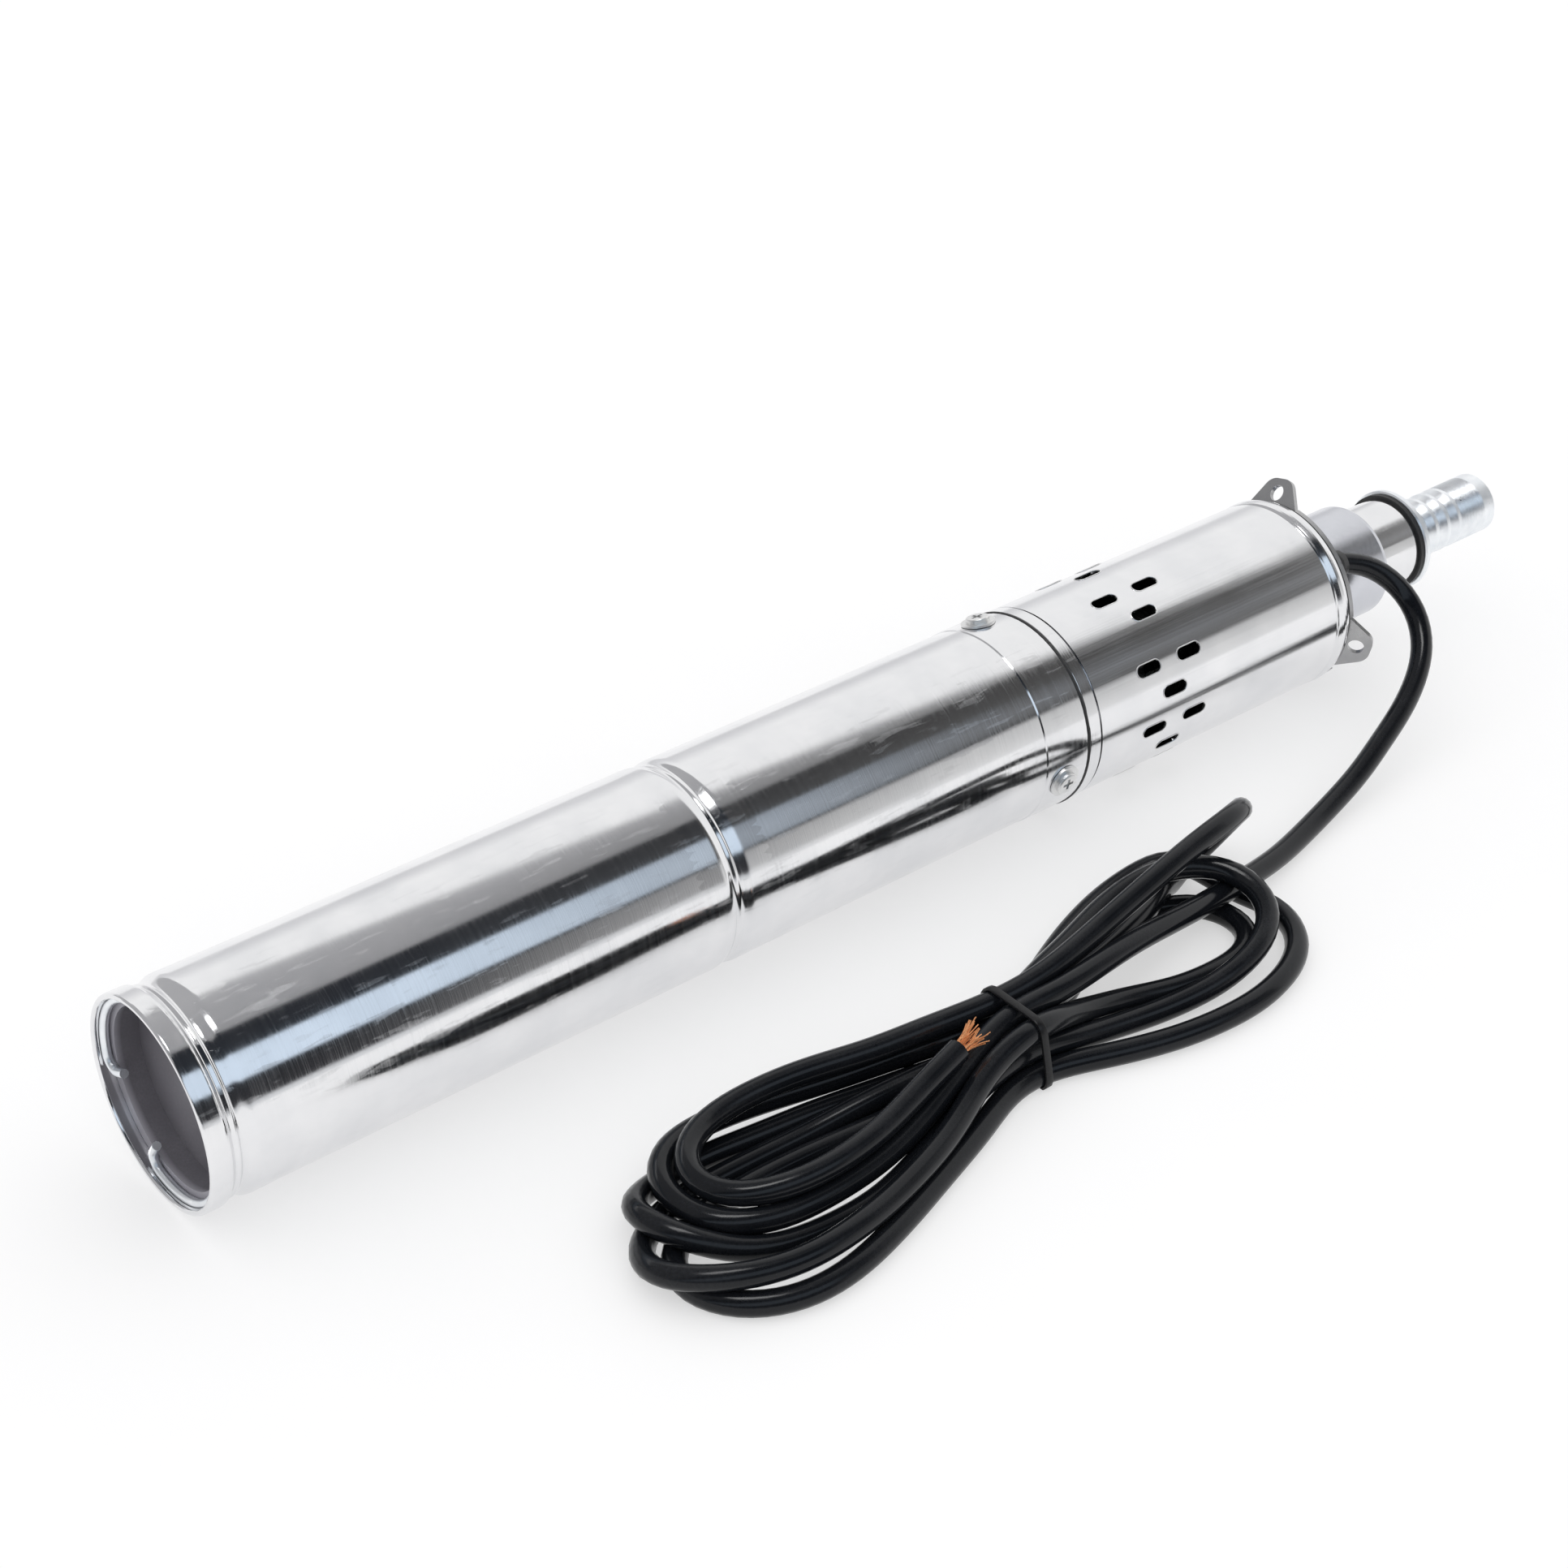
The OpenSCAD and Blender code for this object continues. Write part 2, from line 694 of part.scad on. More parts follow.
module housing_seal() {
  color("black") o_ring_at(housing_seal_at, lip_bore - seat_gap);
}

module seal_seat() {
  color("ivory") ring(seal_at, seal_seat_end, seal_d / 2, shaft_hole_r);
}

module seal_head() {
  shoulder = 2;
  color("dimgray") ring(seal_head_at, seal_head_end, seal_d / 2 - shoulder, shaft_r + seat_gap / 2);
}

module seal_spring() {
  turns = 4;
  per_turn = 14;
  coil_r = shaft_hole_r + spring_wire / 2;
  rise = seal_spring_len - spring_wire;
  path = [for (i = [0:turns * per_turn]) [coil_r * cos(360 * i / per_turn), coil_r * sin(360 * i / per_turn),
    spring_wire / 2 + rise * i / turns / per_turn]];
  color("silver") at_station(spring_at) swept_tube(path, spring_wire / 2, 8);
}

// Lip

module body_screws() {
  dome_h = 0.7;
  washer_t = 0.8;
  recess_len = 4.8;
  recess_w = 1.2;
  recess_at = screw_head_h - recess_w;
  color("gainsboro") screw_places() translate([0, 0, lip_r]) {
    translate([0, 0, -screw_depth]) cylinder(h = screw_depth + washer_t, d = screw_d);
    difference() {
      translate([0, 0, -washer_t]) cylinder(h = 2 * washer_t, d = washer_d);
      translate([-washer_d, 0, -lip_r]) rotate([0, 90, 0]) cylinder(h = 2 * washer_d, r = lip_r + seat_gap);
    }
    translate([0, 0, washer_t]) difference() {
      rotate_extrude() polygon(concat([[0, 0], [screw_head_d / 2, 0]],
        [for (a = [0:15:90]) [screw_head_d / 2 - dome_h * (1 - cos(a)), screw_head_h - dome_h + dome_h * sin(a)]],
        [[0, screw_head_h]]));
      for (a = [0, 90]) rotate(a) translate([-recess_len / 2, -recess_w / 2, recess_at])
        cube([recess_len, recess_w, screw_head_h]);
    }
  }
}

module lip_gasket() {
  color("black") ring(motor_len, collar_at, lip_r - seat_gap, collar_bore);
}

module intake_collar() {
  edge = 0.5;
  outer = collar_d / 2;
  color("silver") turned([[collar_bore, collar_at], [outer - edge, collar_at], [outer, collar_at + edge],
    [outer, collar_end - edge], [outer - edge, collar_end], [strainer_bore - seat_gap, collar_end],
    [strainer_bore - seat_gap, collar_end + collar_spigot], [collar_bore, collar_end + collar_spigot]]);
}

// Intake

// Stadium-shaped hole through the intake tube, long along the axis
module intake_slot() {
  straight = slot_hole_len - slot_hole_w;
  translate([0, 0, strainer_bore / 2]) linear_extrude(strainer_r) {
    square([straight, slot_hole_w], center = true);
    for (x = [-straight / 2, straight / 2]) translate([x, 0]) circle(d = slot_hole_w);
  }
}

// Outline of the intake tube, with the rolled bead at its top
function strainer_outline(r, steps = 6) = concat([[r, strainer_at]],
  [for (i = [0:steps]) [r - bead_groove_depth * ease(2 * i / steps), bead_at + bead_groove * i / steps]],
  [for (i = [1:steps]) [r + bead_h * sin(180 * i / steps),
    bead_at + bead_groove + (bead_len - bead_groove) * i / steps]]);

module strainer() {
  color("silver") difference() {
    turned(concat(strainer_outline(strainer_r), reversed(strainer_outline(strainer_bore))));
    for (half = [0:1], group = [0:3], row = [0:2])
      facing_out(strainer_at + slot_row_at + row * slot_row_pitch,
        slot_group_at + half * half_turn + group * slot_group_pitch + (row == 1 ? slot_stagger : 0)) intake_slot();
  }
}

// Helical pump

module pump_barrel() {
  color("silver") difference() {
    ring(barrel_at, barrel_end, barrel_r, barrel_bore);
    for (i = [0:window_count - 1]) facing_out(window_at, window_angle + 360 * i / window_count)
      translate([0, -window_w / 2, 0]) cube([window_h, window_w, 2 * barrel_r]);
  }
}

module pump_stator() {
  r = screw_section_d / 2 + screw_gap;
  reach = 2 * eccentricity;
  hole_len = pump_stator_len + 2 * cut;
  turn = 180 / screw_pitch;
  color("black") difference() {
    ring(pump_stator_at, pump_stator_end, barrel_bore - seat_gap);
    at_station(pump_stator_at - cut) rotate(-turn * cut)
      linear_extrude(hole_len, twist = -turn * hole_len, slices = 28, $fn = 32) {
        square([2 * reach, 2 * r], center = true);
        for (x = [-reach, reach]) translate([x, 0]) circle(r);
      }
  }
}

module screw_rotor() {
  screw_len = rotor_tip - cup_end;
  turn = 360 / screw_pitch;
  color("gainsboro") translate([0, 0, -eccentricity]) {
    difference() {
      bar(cup_at, cup_end, cup_d / 2);
      bar(cup_at - cut, cup_floor, socket_r);
    }
    at_station(cup_end) rotate(turn * (cup_end - pump_stator_at))
      linear_extrude(screw_len, twist = -turn * screw_len, slices = 44, $fn = 32)
        translate([eccentricity, 0]) circle(d = screw_section_d);
  }
}

module drive_coupling() {
  color("lightgray") difference() {
    bar(coupling_at, coupling_end, coupling_d / 2);
    bar(coupling_at - cut, shaft_end + seat_gap, shaft_r + seat_gap / 2);
    bar(coupling_floor, coupling_end + cut, socket_r);
  }
}

module connecting_rod() {
  color("silver") translate([station_x(lower_ball_at), 0, axis_z]) rotate([0, 90 + rod_tilt, 0]) {
    cylinder(h = rod_len, d = rod_d);
    for (z = [0, rod_len]) translate([0, 0, z]) sphere(d = ball_end_d);
  }
}

// Head

module head_gasket() {
  color("black") difference() {
    ring(strainer_end, head_gasket_end, strainer_r - running_gap, barrel_r + seat_gap);
    at_gland(strainer_end - cut) cylinder(h = head_gasket_t + 2 * cut, r = cable_hole_r);
  }
}

// Flat outline of one ear from its fold: straight sides that meet a broad round tip, with a hole
module ear_outline() {
  base = ear_half_w - ear_tip_flat;
  reach = norm([base, ear_hole_at]);
  lean = atan2(ear_hole_at, base) + asin(ear_tip_r / reach);
  side = sqrt(reach * reach - ear_tip_r * ear_tip_r);
  meet = [ear_half_w - side * cos(lean), side * sin(lean)];
  top = [ear_tip_flat, ear_hole_at + ear_tip_r];
  difference() {
    union() {
      polygon([[-ear_half_w, 0], [ear_half_w, 0], meet, top, [-top[0], top[1]], [-meet[0], meet[1]]]);
      for (s = [-1, 1]) translate([s * ear_tip_flat, ear_hole_at]) circle(ear_tip_r);
    }
    translate([0, ear_hole_at]) circle(d = ear_hole_d);
  }
}

module ear_places() {
  for (i = [0:ear_count - 1]) rotate([ear_angle + 360 * i / ear_count, 0, 0]) children();
}

module head_plate() {
  color("darkgray") translate([station_x(head_gasket_end), 0, axis_z]) {
    difference() {
      rotate([0, 90, 0]) cylinder(h = plate_t, d = plate_d);
      translate([-cut, 0, 0]) rotate([0, 90, 0]) cylinder(h = plate_t + 2 * cut, r = barrel_r + seat_gap);
      translate([-cut, gland_y, gland_z - axis_z]) rotate([0, 90, 0])
        cylinder(h = plate_t + 2 * cut, r = bush_r + seat_gap);
      ear_places() translate([-cut, ear_fold, -ear_half_w]) cube([plate_t + 2 * cut, motor_r, 2 * ear_half_w]);
    }
    ear_places() translate([0, ear_fold, 0]) rotate([0, 0, -ear_bend]) rotate([0, 90, 0])
      linear_extrude(plate_t) ear_outline();
  }
}

module cable_gland() {
  lip = 0.8;
  top = plate_t + gland_h;
  color("black") at_gland(head_gasket_end) rotate_extrude() polygon([[cable_hole_r, 0], [bush_r, 0],
    [bush_r, plate_t], [gland_d / 2, plate_t], [gland_d / 2, plate_t + gland_h / 2], [cable_hole_r + lip, top],
    [cable_hole_r, top]]);
}

module motor_gland() {
  color("black") at_gland(bush_at) difference() {
    cylinder(h = bush_len, r = bush_r);
    translate([0, 0, -cut]) cylinder(h = bush_len + 2 * cut, r = cable_hole_r);
  }
}

module inner_cable() {
  color("black") {
    at_gland(housing_at - core_tail) cylinder(h = gland_end - housing_at, d = core_bundle_d);
    at_gland(bush_at) cylinder(h = gland_end - bush_at, r = cable_r);
  }
}

// Outlet

module outlet_dome() {
  r = dome_d / 2;
  throat_r = nipple_bore_d / 2;
  throat_slope = 2;
  color("darkgray") turned(concat([[barrel_r + seat_gap, plate_end], [r, plate_end]],
    [for (a = [0:15:90]) [r - dome_edge * (1 - cos(a)), dome_end - dome_edge * (1 - sin(a))]],
    [[nipple_d / 2 + seat_gap, dome_end], [nipple_d / 2 + seat_gap, nipple_at], [throat_r, nipple_at],
      [throat_r, barrel_end + throat_slope], [barrel_bore, barrel_end], [barrel_r + seat_gap, barrel_end]]));
}

module outlet_nipple() {
  r = nipple_d / 2;
  edge = 0.6;
  runout = 2;
  thread_at = outlet_gasket_end - tail_thread_len - runout;
  color("gainsboro") turned([[nipple_bore_d / 2, nipple_at], [r, nipple_at], [r, nipple_end - edge],
    [r - edge, nipple_end], [tail_thread_d / 2 + seat_gap, nipple_end], [tail_thread_d / 2 + seat_gap, thread_at],
    [nipple_bore_d / 2, thread_at]]);
}

module outlet_gasket() {
  color("black") ring(nipple_end, outlet_gasket_end, outlet_gasket_d / 2, tail_thread_d / 2 + seat_gap);
}

module hose_tail() {
  r = tail_d / 2;
  edge = 0.6;
  barbs_at = flange_end + tail_plain;
  ridges_at = barbs_at + barb_count * barb_len;
  barb_low = barb_len / 4;
  barb_top = 3 * barb_low;
  barbs = [for (i = [0:barb_count - 1]) each [[r, barbs_at + i * barb_len],
    [r - barb_depth, barbs_at + i * barb_len + barb_low], [r, barbs_at + i * barb_len + barb_top]]];
  ridges = [for (i = [0:ridge_count - 1]) each [[r, ridges_at + i * ridge_len],
    [r - ridge_depth, ridges_at + i * ridge_len + ridge_len / 2]]];
  thread_at = outlet_gasket_end - tail_thread_len;
  color("gainsboro") turned(concat([[tail_bore_d / 2, thread_at], [tail_thread_d / 2, thread_at],
    [tail_thread_d / 2, outlet_gasket_end],
    [flange_d / 2 - edge, outlet_gasket_end], [flange_d / 2, outlet_gasket_end + edge],
    [flange_d / 2, flange_end - edge], [flange_d / 2 - edge, flange_end], [r, flange_end]],
    barbs, ridges,
    [[r, ridges_at + ridge_count * ridge_len], [r, total_len - edge], [r - edge, total_len],
      [tail_bore_d / 2, total_len]]));
}

// Free cable

module cable_lead() {
  exit = [station_x(gland_end), gland_y, gland_z];
  color("black") swept_tube(concat([exit, exit + [cable_r, 0, 0]], LEAD), cable_r, lead_sides);
}

module cable_hank() {
  color("black") difference() {
    linear_extrude(hank_h) {
      polygon([HANK_LEFT + [0, HANK_LEFT_R], HANK_LEFT - [0, HANK_LEFT_R], HANK_MIDDLE - [0, HANK_WAIST],
        HANK_RIGHT - [0, HANK_RIGHT_R], HANK_RIGHT + [0, HANK_RIGHT_R], HANK_MIDDLE + [0, HANK_WAIST]]);
      translate(HANK_LEFT) circle(HANK_LEFT_R);
      translate(HANK_RIGHT) circle(HANK_RIGHT_R);
    }
    tie_frame(HANK_WAIST + cut, -cut, hank_h + cut, tie_t + cut + seat_gap, tie_w + 2 * seat_gap);
  }
}

// Square frame across the hank's middle: half width, floor, top, thickness and length along X
module tie_frame(half_w, low, high, t, w) {
  translate([HANK_MIDDLE[0] - w / 2, HANK_MIDDLE[1], 0]) difference() {
    translate([0, -half_w, low]) cube([w, 2 * half_w, high - low]);
    translate([-cut, t - half_w, low + t]) cube([w + 2 * cut, 2 * (half_w - t), high - low - 2 * t]);
  }
}

module hank_tie() {
  color("black") tie_frame(HANK_WAIST, 0, hank_h, tie_t, tie_w);
}

module conductor_ends() {
  for (i = [-1:1]) color("peru") translate([CONDUCTORS[0], CONDUCTORS[1], hank_h + conductor_d / 2])
    rotate([0, -90, conductor_fan * i]) cylinder(h = conductor_len, d = conductor_d);
}

motor_tube();
end_cap();
end_cap_seal();
snap_ring();
capacitor();
capacitor_rings();
lower_bracket();
bracket_seal();
stator_core();
stator_windings();
bearing_outer_races();
bearing_balls();
seal_housing();
housing_seal();
seal_seat();
body_screws();
motor_gland();
inner_cable();
lip_gasket();
intake_collar();
strainer();
pump_barrel();
pump_stator();
head_gasket();
head_plate();
outlet_dome();
outlet_nipple();
outlet_gasket();
hose_tail();
cable_gland();
cable_lead();
cable_hank();
hank_tie();
conductor_ends();
motor_shaft();
rotor_core();
bearing_inner_races();
seal_head();
seal_spring();
drive_coupling();
connecting_rod();
screw_rotor();
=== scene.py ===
"""Looks of a borehole submersible pump: its finishes, its tied cable, and the studio that it lies in."""

import logging
import math
from dataclasses import dataclass
from enum import Enum
from typing import ClassVar

import bpy
import numpy as np
from mathutils import Matrix, Vector


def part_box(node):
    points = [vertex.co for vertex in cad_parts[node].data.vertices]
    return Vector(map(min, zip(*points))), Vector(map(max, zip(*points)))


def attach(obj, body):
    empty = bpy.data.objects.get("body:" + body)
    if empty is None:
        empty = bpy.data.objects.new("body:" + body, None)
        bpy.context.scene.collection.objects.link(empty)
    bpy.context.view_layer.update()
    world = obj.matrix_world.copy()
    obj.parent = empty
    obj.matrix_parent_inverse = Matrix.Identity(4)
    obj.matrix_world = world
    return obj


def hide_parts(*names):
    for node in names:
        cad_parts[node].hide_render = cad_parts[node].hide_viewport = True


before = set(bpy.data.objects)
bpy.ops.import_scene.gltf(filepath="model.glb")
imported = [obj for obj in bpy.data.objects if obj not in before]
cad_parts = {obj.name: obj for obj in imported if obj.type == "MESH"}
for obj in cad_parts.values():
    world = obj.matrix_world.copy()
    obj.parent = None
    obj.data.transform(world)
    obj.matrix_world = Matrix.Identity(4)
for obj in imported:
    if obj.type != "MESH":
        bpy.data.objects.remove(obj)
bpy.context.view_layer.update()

LOG = logging.getLogger("borehole_pump")
MM = 0.001
BODY = "pump_body"
ROUND = 192
CREASE = 50.0
UNIT = (0.0, 1.0)
FADE = (1.0, 0.0)
WHITE = (1.0, 1.0, 1.0, 1.0)

Colour = tuple[float, float, float]
Point = tuple[float, float, float]
Spot = tuple[float, float]
Range = tuple[float, float]
Stop = tuple[float, Colour]
Feed = float | tuple | bpy.types.NodeSocket
Feeds = dict[str | int, Feed]


def rgba(colour: Colour) -> tuple[float, float, float, float]:
    """The colour with full opacity."""
    return (*colour, 1.0)


class Bench:
    """Places and joins the nodes of one node tree."""

    def __init__(self, tree: bpy.types.NodeTree) -> None:
        """Starts on an existing tree."""
        self.tree = tree

    def feed(self, node: bpy.types.Node, feeds: Feeds) -> None:
        """Feeds a node's inputs.

        Args:
            node: the node.
            feeds: what each named or numbered input gets, a socket or a plain value.
        """
        for key, value in feeds.items():
            if isinstance(value, bpy.types.NodeSocket):
                self.tree.links.new(value, node.inputs[key])
            else:
                node.inputs[key].default_value = value

    def add(self, kind: str, feeds: Feeds | None = None, **settings: object) -> bpy.types.Node:
        """Adds a node, sets its options and feeds its inputs.

        Args:
            kind: the node's type name.
            feeds: what each named or numbered input gets, a socket or a plain value.
            **settings: options of the node itself.

        Returns:
            The new node.
        """
        node = self.tree.nodes.new(kind)
        for key, value in settings.items():
            setattr(node, key, value)
        self.feed(node, feeds or {})
        return node

    def blend(self, factor: Feed, first: Feed, second: Feed) -> bpy.types.NodeSocket:
        """Mixes two colours.

        Args:
            factor: share of the second colour.
            first: the first colour.
            second: the second colour.

        Returns:
            The mixed colour's socket.
        """
        node = self.add("ShaderNodeMix", {0: factor, 6: first, 7: second}, data_type="RGBA")
        return node.outputs[2]

    def span(self, value: Feed, source: Range, target: Range) -> bpy.types.NodeSocket:
        """Maps a value from one range to another, clamped.

        Args:
            value: the value to map.
            source: the range it comes in.
            target: the range it goes to.

        Returns:
            The mapped value's socket.
        """
        feeds = {0: value, 1: source[0], 2: source[1], 3: target[0], 4: target[1]}
        return self.add("ShaderNodeMapRange", feeds).outputs[0]

    def math(self, operation: str, first: Feed, second: Feed = 0.0) -> bpy.types.NodeSocket:
        """Joins two values by a plain operation.

        Args:
            operation: the operation's name.
            first: the first value.
            second: the second value.

        Returns:
            The result's socket.
        """
        return self.add("ShaderNodeMath", {0: first, 1: second}, operation=operation).outputs[0]


class Effect(Enum):
    """Surface effects that several finishes share."""

    GRAIN = "lathe_grain"
    CLOUD = "handling_cloud"
    SPECKLE = "fine_speckle"
    SCUFF = "thin_scuffs"


class Effects:
    """Keeps one node group for each shared effect."""

    made: ClassVar[dict[Effect, bpy.types.NodeTree]] = {}
    INPUTS: ClassVar[dict[Effect, tuple[str, ...]]] = {
        Effect.GRAIN: ("Along", "Around"),
        Effect.CLOUD: ("Scale",),
        Effect.SPECKLE: ("Scale",),
        Effect.SCUFF: ("Along", "Around", "Amount"),
    }
    GRAIN_RANGE: ClassVar[Range] = (0.3, 0.7)
    CLOUD_RANGE: ClassVar[Range] = (0.32, 0.68)
    SPECKLE_RANGE: ClassVar[Range] = (0.4, 1.0)
    SCUFF_RANGE: ClassVar[Range] = (0.0, 0.05)
    SCUFF_LIMIT: ClassVar[float] = 0.75
    CELL_SHARE: ClassVar[float] = 0.5

    @classmethod
    def place(cls, bench: Bench, effect: Effect, **values: float) -> bpy.types.Node:
        """Puts an effect into a material.

        Args:
            bench: the material's bench.
            effect: which effect.
            **values: the effect's own values, by input name.

        Returns:
            The group node, with outputs Mask and Height.
        """
        if effect not in cls.made:
            cls.made[effect] = cls.build(effect)
        return bench.add("ShaderNodeGroup", values, node_tree=cls.made[effect])

    @classmethod
    def build(cls, effect: Effect) -> bpy.types.NodeTree:
        """Builds one effect's node group.

        Args:
            effect: which effect.

        Returns:
            The group's tree.
        """
        tree = bpy.data.node_groups.new(effect.value, "ShaderNodeTree")
        for name in cls.INPUTS[effect]:
            tree.interface.new_socket(name=name, in_out="INPUT", socket_type="NodeSocketFloat")
        for name in ("Mask", "Height"):
            tree.interface.new_socket(name=name, in_out="OUTPUT", socket_type="NodeSocketFloat")
        bench = Bench(tree)
        given = bench.add("NodeGroupInput").outputs
        place = bench.add("ShaderNodeTexCoord").outputs["Object"]
        if effect in (Effect.GRAIN, Effect.SCUFF):
            feeds = {0: given["Along"], 1: given["Around"], 2: given["Around"]}
            scale = bench.add("ShaderNodeCombineXYZ", feeds).outputs[0]
            turned = bench.add("ShaderNodeMapping", {"Vector": place, "Scale": scale}).outputs[0]
            raw = bench.add("ShaderNodeTexNoise", {"Vector": turned, "Scale": 1.0, "Detail": 3.0}).outputs[0]
            if effect is Effect.GRAIN:
                mask = bench.span(raw, cls.GRAIN_RANGE, UNIT)
            else:
                limit = bench.math("SUBTRACT", cls.SCUFF_LIMIT, given["Amount"])
                mask = bench.span(bench.math("SUBTRACT", raw, limit), cls.SCUFF_RANGE, UNIT)
        elif effect is Effect.CLOUD:
            feeds = {"Vector": place, "Scale": given["Scale"], "Detail": 4.0, "Roughness": 0.55}
            raw = bench.add("ShaderNodeTexNoise", feeds).outputs[0]
            mask = bench.span(raw, cls.CLOUD_RANGE, UNIT)
        else:
            feeds = {"Vector": place, "Scale": given["Scale"]}
            cells = bench.add("ShaderNodeTexVoronoi", feeds).outputs["Distance"]
            fine = bench.add("ShaderNodeTexNoise", feeds | {"Detail": 5.0, "Roughness": 0.7}).outputs[0]
            raw = bench.math("ADD", bench.math("MULTIPLY", cells, cls.CELL_SHARE), fine)
            mask = bench.span(raw, cls.SPECKLE_RANGE, UNIT)
        bench.add("NodeGroupOutput", {"Mask": mask, "Height": raw})
        return tree


class Lay(Enum):
    """Which way a metal's fine lines run, as scales along and around the pump."""

    TURNED = (2600.0, 14.0)
    DRAWN = (16.0, 1900.0)
    ROLLED = (700.0, 700.0)


def fresh_material(name: str) -> tuple[bpy.types.Material, Bench, bpy.types.Node]:
    """Starts a material with one shader.

    Args:
        name: the material's name.

    Returns:
        The material, its bench and its shader node.
    """
    material = bpy.data.materials.new(name)
    material.use_nodes = True
    bench = Bench(material.node_tree)
    return material, bench, material.node_tree.nodes["Principled BSDF"]


@dataclass(frozen=True)
class MetalFinish:
    """A bare or plated metal with fine lines, cloudy handling marks and a few scuffs."""

    name: str
    tint: Colour
    shade: Colour
    rough: float
    spread: float
    lay: Lay = Lay.TURNED
    depth: float = 0.03
    cloud: float = 45.0
    scuff: float = 0.0

    SCUFF_LAY: ClassVar[Range] = (60.0, 420.0)
    SCUFF_ROUGH: ClassVar[float] = 0.08
    BUMP: ClassVar[float] = 0.2 * MM

    def make(self) -> bpy.types.Material:
        """Builds the finish.

        Returns:
            The material.
        """
        material, bench, shader = fresh_material(self.name)
        along, around = self.lay.value
        grain = Effects.place(bench, Effect.GRAIN, Along=along, Around=around)
        cloud = Effects.place(bench, Effect.CLOUD, Scale=self.cloud)
        colour = bench.blend(cloud.outputs["Mask"], rgba(self.tint), rgba(self.shade))
        rough = bench.span(grain.outputs["Mask"], UNIT, (self.rough - self.spread, self.rough + self.spread))
        handled = bench.span(cloud.outputs["Mask"], UNIT, (0.0, self.spread))
        rough = bench.math("ADD", rough, handled)
        if self.scuff > 0.0:
            along, around = self.SCUFF_LAY
            scuff = Effects.place(bench, Effect.SCUFF, Along=along, Around=around, Amount=self.scuff)
            rough = bench.math("ADD", rough, bench.math("MULTIPLY", scuff.outputs["Mask"], self.SCUFF_ROUGH))
        feeds = {"Strength": self.depth, "Distance": self.BUMP, "Height": grain.outputs["Height"]}
        bump = bench.add("ShaderNodeBump", feeds).outputs[0]
        bench.feed(shader, {"Metallic": 1.0, "Base Color": colour, "Roughness": rough, "Normal": bump})
        return material


@dataclass(frozen=True)
class MouldedFinish:
    """A rubber, plastic, ceramic or painted skin with a fine grain and soft handling marks, and where given a
    lighter band at one end that is a painted highlight on its rim.
    """

    name: str
    tint: Colour
    shade: Colour
    rough: float
    spread: float
    grain: float = 1500.0
    depth: float = 0.15
    cloud: float = 60.0
    gloss: float = 0.5
    # Painted highlight: from this place along the pump out to the end, the skin takes the lighter colour
    # below, where light catches the end's rim.
    highlight_rim_at: float | None = None
    rim_highlight: Colour = (0.36, 0.35, 0.39)

    RIM_HIGHLIGHT_FADE: ClassVar[Range] = (0.3 * MM, 2.5 * MM)
    BUMP: ClassVar[float] = 0.1 * MM

    def make(self) -> bpy.types.Material:
        """Builds the finish.

        Returns:
            The material.
        """
        material, bench, shader = fresh_material(self.name)
        speckle = Effects.place(bench, Effect.SPECKLE, Scale=self.grain)
        cloud = Effects.place(bench, Effect.CLOUD, Scale=self.cloud)
        both = bench.math("MULTIPLY", speckle.outputs["Mask"], cloud.outputs["Mask"])
        colour = bench.blend(both, rgba(self.tint), rgba(self.shade))
        # Painted highlight: the colour lightens to the rim colour towards the end, where light catches the
        # end's rim.
        if self.highlight_rim_at is not None:
            place = bench.add("ShaderNodeTexCoord").outputs["Object"]
            along = bench.add("ShaderNodeSeparateXYZ", {0: place}).outputs["X"]
            reach = tuple(self.highlight_rim_at + fade for fade in self.RIM_HIGHLIGHT_FADE)
            colour = bench.blend(bench.span(along, reach, FADE), colour, rgba(self.rim_highlight))
        rough = bench.span(cloud.outputs["Mask"], UNIT, (self.rough - self.spread, self.rough + self.spread))
        feeds = {"Strength": self.depth, "Distance": self.BUMP, "Height": speckle.outputs["Height"]}
        bump = bench.add("ShaderNodeBump", feeds).outputs[0]
        feeds = {"Specular IOR Level": self.gloss, "Base Color": colour, "Roughness": rough, "Normal": bump}
        bench.feed(shader, feeds)
        return material


Finish = MetalFinish | MouldedFinish

POLISHED = MetalFinish("polished_steel", (0.84, 0.84, 0.85), (0.77, 0.775, 0.79), 0.10, 0.04, scuff=0.16)
STRAINER = MetalFinish("brushed_steel", (0.85, 0.85, 0.86), (0.78, 0.785, 0.80), 0.13, 0.04, Lay.DRAWN, 0.015)
PLATE = MetalFinish("plate_steel", (0.46, 0.46, 0.46), (0.36, 0.36, 0.37), 0.30, 0.06, Lay.ROLLED)
CASTING = MetalFinish("satin_casting", (0.66, 0.67, 0.71), (0.60, 0.61, 0.65), 0.20, 0.03, Lay.ROLLED, 0.01)
ZINC = MetalFinish("bright_zinc", (0.93, 0.95, 0.97), (0.84, 0.87, 0.90), 0.33, 0.07, Lay.ROLLED, 0.04, 160.0)
SCREW = MetalFinish("screw_steel", (0.86, 0.86, 0.85), (0.76, 0.76, 0.76), 0.34, 0.06, Lay.ROLLED)
WIRE = MetalFinish("spring_wire", (0.74, 0.75, 0.76), (0.60, 0.61, 0.62), 0.16, 0.05, Lay.ROLLED)
MACHINED = MetalFinish("machined_steel", (0.62, 0.62, 0.63), (0.52, 0.52, 0.54), 0.26, 0.07)
BEARING = MetalFinish("bearing_steel", (0.68, 0.68, 0.70), (0.58, 0.58, 0.60), 0.14, 0.04)
LAMINATION = MetalFinish("stacked_laminations", (0.30, 0.31, 0.33), (0.20, 0.21, 0.23), 0.42, 0.08, depth=0.5)
